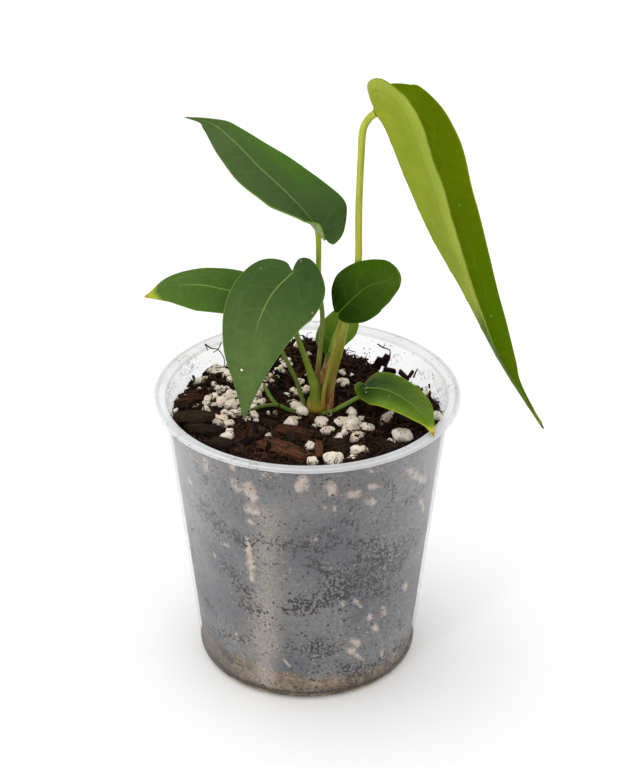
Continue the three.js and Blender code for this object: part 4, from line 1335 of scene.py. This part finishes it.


# The look that the leaves share, with what differs given for each. "grade" runs from dark to light along the
# blade, "side" is painted light on one half of it, "underEnd" is where the lower side turns green again, and
# the starts and ends are shares of the blade's length.
sharedLook = {
    "dark": rgb(50, 76, 26), "light": rgb(74, 98, 38), "edge": rgb(60, 96, 20), "vein": rgb(92, 116, 62),
    "ribColour": rgb(112, 138, 62), "margin": rgb(120, 150, 60), "tip": rgb(88, 112, 60),
    "point": rgb(116, 92, 52), "underDark": rgb(110, 134, 72), "underLight": rgb(136, 158, 92),
    "underVein": rgb(160, 178, 116), "underPale": rgb(146, 166, 106), "underEnd": None, "side": None,
    "roughness": 0.48, "gloss": 0.13, "veins": 0.2, "rib": 0.14, "ribTaper": 0.12, "ribEnd": 0.96,
    "grade": 0.6, "gradeStart": 0.15, "edgeLight": 0.3, "sideFrom": 0.1, "tipStart": 0.97, "tipSpan": 0.05,
    "pointStart": 0.985,
}
leaves = {
    "upper_left": {
        "midrib": [(4.5, 7, 182), (-1, 12, 188), (-8.5, 18, 194), (-18, 25, 200.5), (-27, 33, 207),
                   (-36.5, 42, 211.5), (-48, 48, 212)],
        "faces": [(0.25, -0.6, 0.75), (0, -0.75, 0.65), (-0.3, -0.9, 0.3)],
        "rightFolds": [10, 12, 14, 17, 20], "leftFolds": [62, 24, 14, 17, 20],
        "rightOutline": [(-5.6, 0.7), (-7.3, 2.4), (-5, 8.4), (3, 14.8), (12, 13.6), (22, 11.7), (34, 9.5),
                         (46, 6.6), (56, 4.4), (63.5, 1.6), (75, 0)],
        "leftOutline": [(-4, 1), (-5, 5), (-1.5, 9.5), (5, 11.3), (13, 11.6), (24, 11.2), (35, 10.7),
                        (47.5, 8.8), (58, 6), (64.5, 3.4), (67.5, 1.1), (75, 0)],
        "wave": 0.32, "lobeVeins": 3, "veins": 9,
        "stalk": {
            "route": [(3.8, 9.8, 106), (3.8, 8.9, 115), (4.5, 8.5, 124), (5.2, 8.5, 131.5), (6, 8.5, 145),
                      (4.6, 8.6, 158.5), (4.5, 8.9, 171)],
            "radii": [1.3, 1, 0.95, 1, 1.15], "neck": 3, "away": (0.1, 0.2, -1), "meets": 0.3,
        },
        "lobeRoll": 2.4,
        "look": {
            "side": rgb(66, 106, 14), "sideSign": 1, "dark": rgb(53, 77, 33), "light": rgb(74, 97, 40),
            "grade": 0.4,
            "gloss": 0.16,
        },
        "slot": "leaf_dark", "stalkSlot": "stalk",
        "stalkColours": (rgb(150, 112, 66), rgb(118, 138, 66), rgb(142, 160, 30), 112, 172),
    },
    "hanging_right": {
        "midrib": [(25, 3, 232.2), (29.6, 0.8, 225.8), (37.6, -3, 206.7), (47, -7, 186.4), (59, -10, 165.4),
                   (74.2, -11, 135.8), (92.7, -8, 104.5)],
        "faces": [(0.8, -0.17, 0.58), (0.81, -0.22, 0.54), (0.65, -0.41, 0.64), (0.62, -0.45, 0.65)],
        "rightFolds": [49, 43.5, 38, 34], "leftFolds": [50, 48, 38, 34],
        "rightOutline": [(-4.5, 2.4), (-9, 6.4), (-10, 12), (-7, 19), (2, 23.6), (16, 24.2), (32, 24.4),
                         (47, 22.6), (62, 19.4), (79, 13.6), (97, 9.4), (114, 5), (130, 1.6), (147, 0)],
        "leftOutline": [(-3.5, 2.2), (-5.6, 5.5), (-4.6, 10.5), (-0.6, 16), (5.5, 20.6), (12, 23.6),
                        (20, 24.6), (32, 24.2), (46, 21.6), (61, 18.6), (79.5, 12.9), (97.5, 9.2),
                        (113, 5.4), (121, 2.6), (131, 1.2), (147, 0)],
        "wave": 0.06, "lobeVeins": 4, "veins": 11,
        "stalk": {
            "route": [(8.8, 5.6, 107), (9, 5.4, 113), (10.2, 5.5, 122), (12.5, 5.5, 131), (14.8, 5, 144),
                      (18, 4.5, 158.5), (19.5, 4, 171), (19.5, 4, 183), (19.5, 3.5, 195), (20, 3, 214),
                      (20.6, 3.2, 224.5)],
            "radii": [1.8, 1.6, 1.45, 1.35, 1.3, 1.45], "neck": 3, "steps": 90,
        },
        "look": {
            "gloss": 0.02, "grade": -0.8, "gradeStart": 0.8, "dark": rgb(76, 102, 0),
            "light": rgb(108, 128, 0),
            "edge": rgb(84, 108, 0), "vein": rgb(122, 142, 14), "veins": 0.34,
            "ribColour": rgb(150, 164, 60), "margin": rgb(150, 164, 50), "tip": rgb(110, 100, 50),
            "underDark": rgb(126, 142, 28), "underLight": rgb(148, 160, 42), "underVein": rgb(112, 134, 22),
            "underPale": rgb(166, 177, 84),
            "side": rgb(80, 112, 2), "sideSign": -1, "sideFrom": 0.38,
            "tipStart": 0.985, "tipSpan": 0.03, "underEnd": rgb(66, 98, 26), "pointStart": 0.992,
        },
        "slot": "leaf_light", "stalkSlot": "stalk_yellow",
        "stalkColours": (rgb(150, 112, 60), rgb(140, 136, 46), rgb(168, 173, 54), 108, 158),
    },
    "left": {
        "midrib": [(-19, 6, 155), (-29.5, 7, 157), (-41, 8, 159), (-52, 7.5, 158.5), (-62.5, 6, 155)],
        "faces": [(0, -0.62, 0.78), (0, -0.6, 0.8)],
        "rightFolds": [-8, -8], "leftFolds": [-8, -8],
        "rightOutline": [(-3, 1.5), (-4.5, 5), (-1, 9), (6, 9.9), (12.5, 9.9), (18, 8.9), (25, 7.3),
                         (34.5, 4.7), (40.5, 1.8), (45, 0)],
        "leftOutline": [(-3, 1.5), (-4, 5), (1, 8), (8, 8.9), (14, 9.7), (20, 10.3), (25, 10), (31.6, 7.8),
                        (38, 4.5), (45, 0)],
        "lobeVeins": 2, "veins": 6,
        "stalk": {
            "route": [(-0.8, 7, 106), (-2, 7, 110), (-4.5, 7, 118.5), (-9.5, 7, 130), (-13.5, 7.5, 141),
                      (-16.6, 8.5, 148)],
            "radii": [0.9, 0.8, 0.8], "neck": 2.5,
        },
        "look": {
            "dark": rgb(54, 82, 20), "light": rgb(76, 106, 34), "edge": rgb(76, 110, 20),
            "tip": rgb(158, 170, 52),
            "tipStart": 0.87, "tipSpan": 0.08, "vein": rgb(120, 142, 84), "ribEnd": 0.75,
            "point": rgb(176, 124, 62),
            "pointStart": 0.955,
        },
        "slot": "leaf_mid", "stalkSlot": "stalk",
        "stalkColours": (rgb(110, 122, 50), rgb(100, 122, 48), rgb(112, 132, 54), 108, 140),
    },
    "front": {
        "midrib": [(-5.5, -1, 168.5), (-12.5, -4, 162), (-17.5, -8, 153.5), (-21, -13, 142),
                   (-23, -19, 129), (-24, -23, 117)],
        "faces": [(-0.2, -0.75, 0.65), (-0.3, -0.8, 0.5)],
        "rightFolds": [6, 4], "leftFolds": [6, 4], "curl": -0.3,
        "rightOutline": [(-0.7, 1.5), (-1.3, 4.7), (1, 8.7), (5.5, 12.3), (11, 14.5), (16.5, 15.1),
                         (23.5, 14.4), (30, 12.7), (37, 10.2), (45.5, 6), (53, 2.7), (61, 0)],
        "leftOutline": [(-2.6, -1.5), (-5.6, -2), (-8.1, 0.2), (-8.6, 4), (-7.4, 9), (-4, 14.6),
                        (1.5, 17.8), (7, 18.8), (13, 18.3), (24, 15), (35, 10.8), (44, 6.8), (53.5, 2.9),
                        (61, 0)],
        "lobeVeins": 3, "veins": 7,
        "stalk": {
            "route": [(3.8, 4.9, 109.5), (3.4, 4.8, 115.1), (2, 4.2, 120.5), (-1, 3, 131), (-4, 2, 141),
                      (-5.6, 1.8, 152), (-5.9, 2.4, 160)],
            "radii": [3, 2.1, 1.4, 1.15, 1.05, 1, 1, 1, 1.05], "neck": 3, "meets": 2.6,
        },
        "look": {
            "dark": rgb(44, 70, 24), "light": rgb(84, 108, 50), "edge": rgb(58, 86, 28),
            "vein": rgb(98, 122, 70),
            "grade": 0.9, "gradeStart": 0.14, "ribEnd": 0.5, "roughness": 0.5,
        },
        "crumbs": [(242, 370, 1), (260.8, 268.3, 0.35), (301.2, 261, 0.35)],
        "slot": "leaf_dull", "stalkSlot": "stalk",
        "stalkColours": (rgb(100, 118, 28), rgb(118, 138, 44), rgb(118, 138, 52), 111, 150),
    },
    "round_right": {
        "midrib": [(12, -6, 154), (17, -5.5, 159.5), (22.7, -4, 164), (29, -3, 166), (35.5, -3, 168)],
        "faces": [(-0.05, -0.75, 0.7), (0, -0.75, 0.7)],
        "rightFolds": [6, 6], "leftFolds": [6, 6],
        "rightOutline": [(-1.4, 1.4), (-0.9, 3.6), (1, 6.3), (5, 9.6), (10, 11), (15, 10.9), (20, 9.5),
                         (26.3, 4.8), (28.7, 0)],
        "leftOutline": [(-0.8, 1.2), (0, 3), (2, 5.6), (4.7, 8.4), (8.6, 10.6), (13, 10.8), (17, 9.9),
                        (21.5, 8.8), (25, 7), (27.6, 3.6), (28.7, 0)],
        "lobeVeins": 2, "veins": 5,
        "stalk": {
            "route": [(6.2, 2, 110), (6.8, 1.8, 116.5), (9, 0.6, 128), (10.6, -1, 138)],
            "radii": [0.85, 0.8, 0.85], "neck": 2.5,
        },
        "look": {
            "gloss": 0.03, "dark": rgb(24, 46, 0), "light": rgb(68, 94, 22), "edge": rgb(48, 78, 6),
            "vein": rgb(74, 100, 36), "grade": 1.1, "gradeStart": -0.05, "ribColour": rgb(90, 116, 34),
            "rib": 0.06,
            "side": rgb(58, 94, 2), "sideSign": -1, "sideFrom": 0.4, "margin": rgb(92, 126, 40),
        },
        "slot": "leaf_dark", "stalkSlot": "stalk",
        "stalkColours": (rgb(150, 120, 56), rgb(140, 140, 50), rgb(128, 132, 32), 108, 140),
    },
    "small_back": {
        "midrib": [(8.5, 13, 126.5), (10.5, 14, 134), (13.5, 16, 140), (17, 18, 147)],
        "faces": [(0, -0.9, 0.3), (0, -0.85, 0.4)],
        "rightFolds": [10, 8], "leftFolds": [10, 8],
        "rightOutline": [(-0.6, 1.3), (1, 3), (5, 5.4), (11, 7.6), (16, 7), (20.5, 3.6), (23.3, 0)],
        "leftOutline": [(-0.6, 1.3), (0.6, 3.4), (4, 6.2), (8, 6.8), (12, 6.1), (17.5, 3.9), (23.3, 0)],
        "lobeVeins": 1, "veins": 4,
        "stalk": {
            "route": [(5.2, 11.4, 108), (5.5, 11.6, 114), (6.6, 13.2, 119.5)],
            "radii": [0.8, 0.7, 0.75], "neck": 2,
        },
        "look": {
            "dark": rgb(66, 108, 12), "light": rgb(124, 152, 44), "edge": rgb(112, 142, 40), "veins": 0.35,
            "grade": 1.0,
            "gradeStart": 0.0, "vein": rgb(146, 168, 90), "ribColour": rgb(146, 168, 80), "rib": 0.3,
            "gloss": 0.08,
            "side": rgb(138, 160, 64), "sideSign": -1, "sideFrom": 0.0,
        },
        "slot": "leaf_mid", "stalkSlot": "stalk",
        "stalkColours": (rgb(128, 132, 58), rgb(112, 128, 52), rgb(112, 128, 52), 108, 125),
    },
    "low_right": {
        "midrib": [(23, 2, 117), (28.5, -2, 119), (34, -8, 120.2), (40, -17, 120.6), (44.5, -27, 120.3),
                   (47.5, -38, 118.8)],
        "faces": [(0, -0.35, 1), (0.3, -0.1, 1)],
        "rightFolds": [-8, -6], "leftFolds": [-8, -6],
        "rightOutline": [(-2.7, -2.4), (-5.8, -4.6), (-6.6, -2), (-4.5, 1.5), (-2, 3.8), (2.5, 6.6),
                         (9, 8.9), (18.5, 8.7), (27.5, 7.5), (36.5, 4.8), (42, 1.6), (48.5, 0)],
        "leftOutline": [(-1.8, 2), (-3, 5), (-3, 8.5), (-1.5, 11.3), (5, 11.7), (11, 11.1), (17.6, 10.5),
                        (24.6, 9), (30, 7.2), (37.5, 4), (44.5, 1.6), (48.5, 0)],
        "lobeVeins": 2, "veins": 6,
        "stalk": {
            "route": [(5.5, 1, 106), (10.5, 1.5, 107.2), (13, 2, 108.4), (17, 2.6, 110.6), (20.6, 3, 112.6)],
            "radii": [0.95, 0.85, 0.9], "neck": 1.5,
        },
        "look": {
            "dark": rgb(34, 60, 4), "light": rgb(94, 126, 16), "edge": rgb(108, 140, 4), "edgeLight": 0.42,
            "grade": 1.2, "gradeStart": 0.0, "gloss": 0.05, "margin": rgb(176, 186, 60),
            "tip": rgb(200, 184, 60), "tipStart": 0.85, "tipSpan": 0.1, "ribEnd": 0.72,
            "point": rgb(166, 106, 44),
            "pointStart": 0.94, "side": rgb(112, 146, 30), "sideSign": 1, "sideFrom": 0.1,
        },
        "crumbs": [(366.3, 392.4, 0.5), (388.6, 396.5, 0.25)],
        "slot": "leaf_mid", "stalkSlot": "stalk",
        "stalkColours": (rgb(104, 128, 50), rgb(110, 138, 50), rgb(110, 138, 50), 106, 113),
    },
}


# Every leaf with its stalk, and the grains that lie on two of them
def makeLeaves():
    crumbSpots = []
    for name, leaf in leaves.items():
        look = {**sharedLook, **leaf["look"]}
        materials = [
            upperMaterial(name + "_upper", look), underMaterial(name + "_under", look),
            marginMaterial(name + "_margin", look),
        ]
        blade = makeBlade("blade_" + name, leaf, materials, leaf["slot"], "leaf_" + name)
        finish = stalkMaterial("stalk_" + name, *leaf["stalkColours"])
        makeStalk("petiole_" + name, leaf, finish, leaf["stalkSlot"], "stalk_" + name)
        for px, py, size in leaf.get("crumbs", []):
            found, spot, normal = blade.ray_cast(Vector(view["place"]) * mm, lookThrough(px, py))[:3]
            if found:
                crumbSpots.append((spot / mm + normal * size * 0.2, size))
        print("leaf made:", name)
    draw = random.Random(2)
    bm = bmesh.new()
    for spot, size in crumbSpots:
        addGrain(bm, draw, spot, size)
    keepPiece("grains_on_leaves", bm, [perliteFinish], "perlite")


makeLeaves()

# Papery sheaths of old leaves between the stalks
sheaths = {
    "sheath_tall": {
        "midrib": [(6.1, 6.6, 114.5), (6.9, 6.8, 121), (8.6, 7.2, 129)],
        "faces": [(-0.1, -1, 0), (-0.1, -1, 0)],
        "rightFolds": [25, 10], "leftFolds": [25, 10],
        "rightOutline": [(0, 1.3), (4, 1.5), (9, 1), (15, 0)],
        "leftOutline": [(0, 1.3), (4, 1.5), (9, 1), (15, 0)],
        "lobeVeins": 1, "veins": 4, "thickness": 0.3,
    },
    "sheath_low": {
        "midrib": [(8.6, 2.5, 105.6), (9.5, 2.6, 110), (10.6, 2.6, 115)],
        "faces": [(0.3, -1, 0), (0.3, -1, 0)],
        "rightFolds": [-20, 0], "leftFolds": [-20, 0],
        "rightOutline": [(0, 1.2), (3, 1.4), (6, 0.9), (9.7, 0)],
        "leftOutline": [(0, 1.2), (3, 1.4), (6, 0.9), (9.7, 0)],
        "lobeVeins": 1, "veins": 3, "thickness": 0.3,
    },
}


def sheathMaterial():
    material = startMaterial("oldSheath", {"Roughness": 0.6})
    coords = objectCoords()
    streaks = speckle(stretched(coords, (0, 0, 0), (1, 1, 0.1)), 1300, 3)
    colour = layered(
        rgb(130, 78, 40), (ease(speckle(coords, 260, 3), 0.3, 0.7), rgb(180, 132, 86)),
        (ease(streaks, 0.5, 0.62), rgb(112, 60, 28)),
    )
    return finished(material, colour, {"Normal": raised(streaks, 0.5, 0.0005)})


# The swollen foot of the stem, green above and yellow to orange below, with its roots in the mix
stem = {
    "centre": (3.8, 5), "foot": 92, "top": 114.6, "radius": 4.1,
    "roots": [
        [(3.8, 5, 97), (-6, -8, 86), (-20, -28, 74), (-23, -40, 58), (-20.5, -39.5, 42)],
        [(3.8, 5, 96), (14, -6, 84), (27, -16, 66), (30, -20, 44)],
        [(3.8, 5, 97), (16, 16, 88), (30, 24, 70), (26, 30, 48)],
        [(3.8, 5, 96), (-8, 18, 86), (-24, 26, 68), (-22, 20, 40)],
        [(3.8, 5, 95), (2, 2, 80), (6, -6, 56), (0, 4, 30)],
    ],
}


def stemMaterial():
    material = startMaterial("stemFoot", {"Roughness": 0.45, "Specular IOR Level": 0.15})
    coords = objectCoords()
    height = part(coords, "Z")
    cloud = speckle(coords, 260, 3)
    colour = layered(
        rgb(148, 126, 40), (ease(height + cloud * 0.006, 0.1105, 0.1155), rgb(96, 114, 28)),
        (ease(height, 0.1085, 0.106, 0, 0.8), rgb(124, 80, 32)),
        (ease(speckle(coords, 1400, 2), 0.62, 0.7, 0, 0.8), rgb(52, 44, 22)),
        (ease(height, 0.102, 0.098), rgb(150, 124, 92)),
    )
    return finished(material, colour, {"Normal": raised(cloud, 0.3, 0.0006)})


def makeStem():
    x, y = stem["centre"]
    profile = [
        (0, stem["foot"]), (2.6, stem["foot"]), (3.4, 98), (3.9, 103), (stem["radius"], 105.5),
        (stem["radius"], 107.5), (3.8, 109.3), (3.2, 111), (2.5, 112.8), (1.95, 114.3), (1.8, stem["top"]),
        (0, stem["top"] + 0.6),
    ]
    bm = bmesh.new()
    spinProfile(bm, profile, 32)
    bmesh.ops.subdivide_edges(bm, edges=bm.edges, cuts=1, smooth=0.6, use_grid_fill=True)
    bmesh.ops.translate(bm, verts=bm.verts, vec=(x * mm, y * mm, 0))
    for vert in bm.verts:
        spot = vert.co / mm
        push = 1 + 0.05 * noise.noise(spot * 0.5)
        vert.co.x = (x + (spot.x - x) * push) * mm
        vert.co.y = (y + (spot.y - y) * push) * mm
    for route in stem["roots"]:
        bm.from_mesh(tubeMesh(route, [1.4, 1.2, 0.9, 0.7], 40, 3))
    keepPiece("stemAndRoots", bm, [stemMaterial()], "stem", "stem")


# A thin forked shoot that lies on the mix at the left
shootRoutes = [
    [(-3, 2.4, 105.5), (-7, 2.8, 106.6), (-12, 3.5, 108.6), (-17.5, 1.5, 109.2), (-22, -1, 109)],
    [(-12, 3.5, 108.6), (-14.6, 5.4, 111.4), (-17, 8, 115.6)],
]


def makeShoot():
    bm = bmesh.new()
    for route in shootRoutes:
        bm.from_mesh(tubeMesh(route, [0.85, 0.8, 0.75, 0.55], 40, 4))
    finish = stalkMaterial("shoot", rgb(70, 92, 30), rgb(84, 108, 36), rgb(104, 128, 50), 105, 112)
    keepPiece("forkedShoot", bm, [finish], "stalk", "shoot")


def makeSheaths():
    finish = sheathMaterial()
    for name, sheath in sheaths.items():
        makeBlade("paper_" + name, sheath, [finish] * 3, "sheath", name)


makeStem()
makeShoot()
makeSheaths()
print("stem, shoot and sheaths made")

# Floor and light: a pale floor that runs out of sight, a large soft light at the upper left and a narrow one
# in front at the left
studio = {"floor": 6, "world": 1.0, "top": 8.5, "streak": 3}


def addLight(name, place, aim, size, power):
    lamp = bpy.data.lights.new(name, "AREA")
    lamp.shape = "RECTANGLE"
    lamp.size, lamp.size_y = size
    lamp.energy = power
    holder = addObject(name, lamp)
    holder.location = place
    holder.rotation_euler = (Vector(aim) - Vector(place)).to_track_quat("-Z", "Y").to_euler()


def setStudio():
    bm = bmesh.new()
    bmesh.ops.create_grid(bm, x_segments=2, y_segments=2, size=studio["floor"])
    floor = addObject("floor", meshFrom("floor", bm))
    material = startMaterial("floorPaper", {"Roughness": 0.9, "Specular IOR Level": 0.1})
    grain = speckle(objectCoords(), 30, 2)
    floor.data.materials.append(
        finished(material, blendColours(grain, rgb(250, 250, 250), rgb(252, 252, 252)), {}),
    )
    world = bpy.data.worlds.new("studio")
    world.use_nodes = True
    sky = world.node_tree.nodes["Background"].inputs
    sky["Color"].default_value = (1, 1, 1, 1)
    sky["Strength"].default_value = studio["world"]
    scene.world = world
    addLight("topLight", (-0.6, 0.35, 1.9), (0, 0.1, 0.1), (1.7, 1.7), studio["top"])
    addLight("streakLight", (-0.75, -0.95, 0.3), (0, 0, 0.06), (0.1, 0.5), studio["streak"])
    scene.view_settings.view_transform = "Standard"


setStudio()
print("studio set")
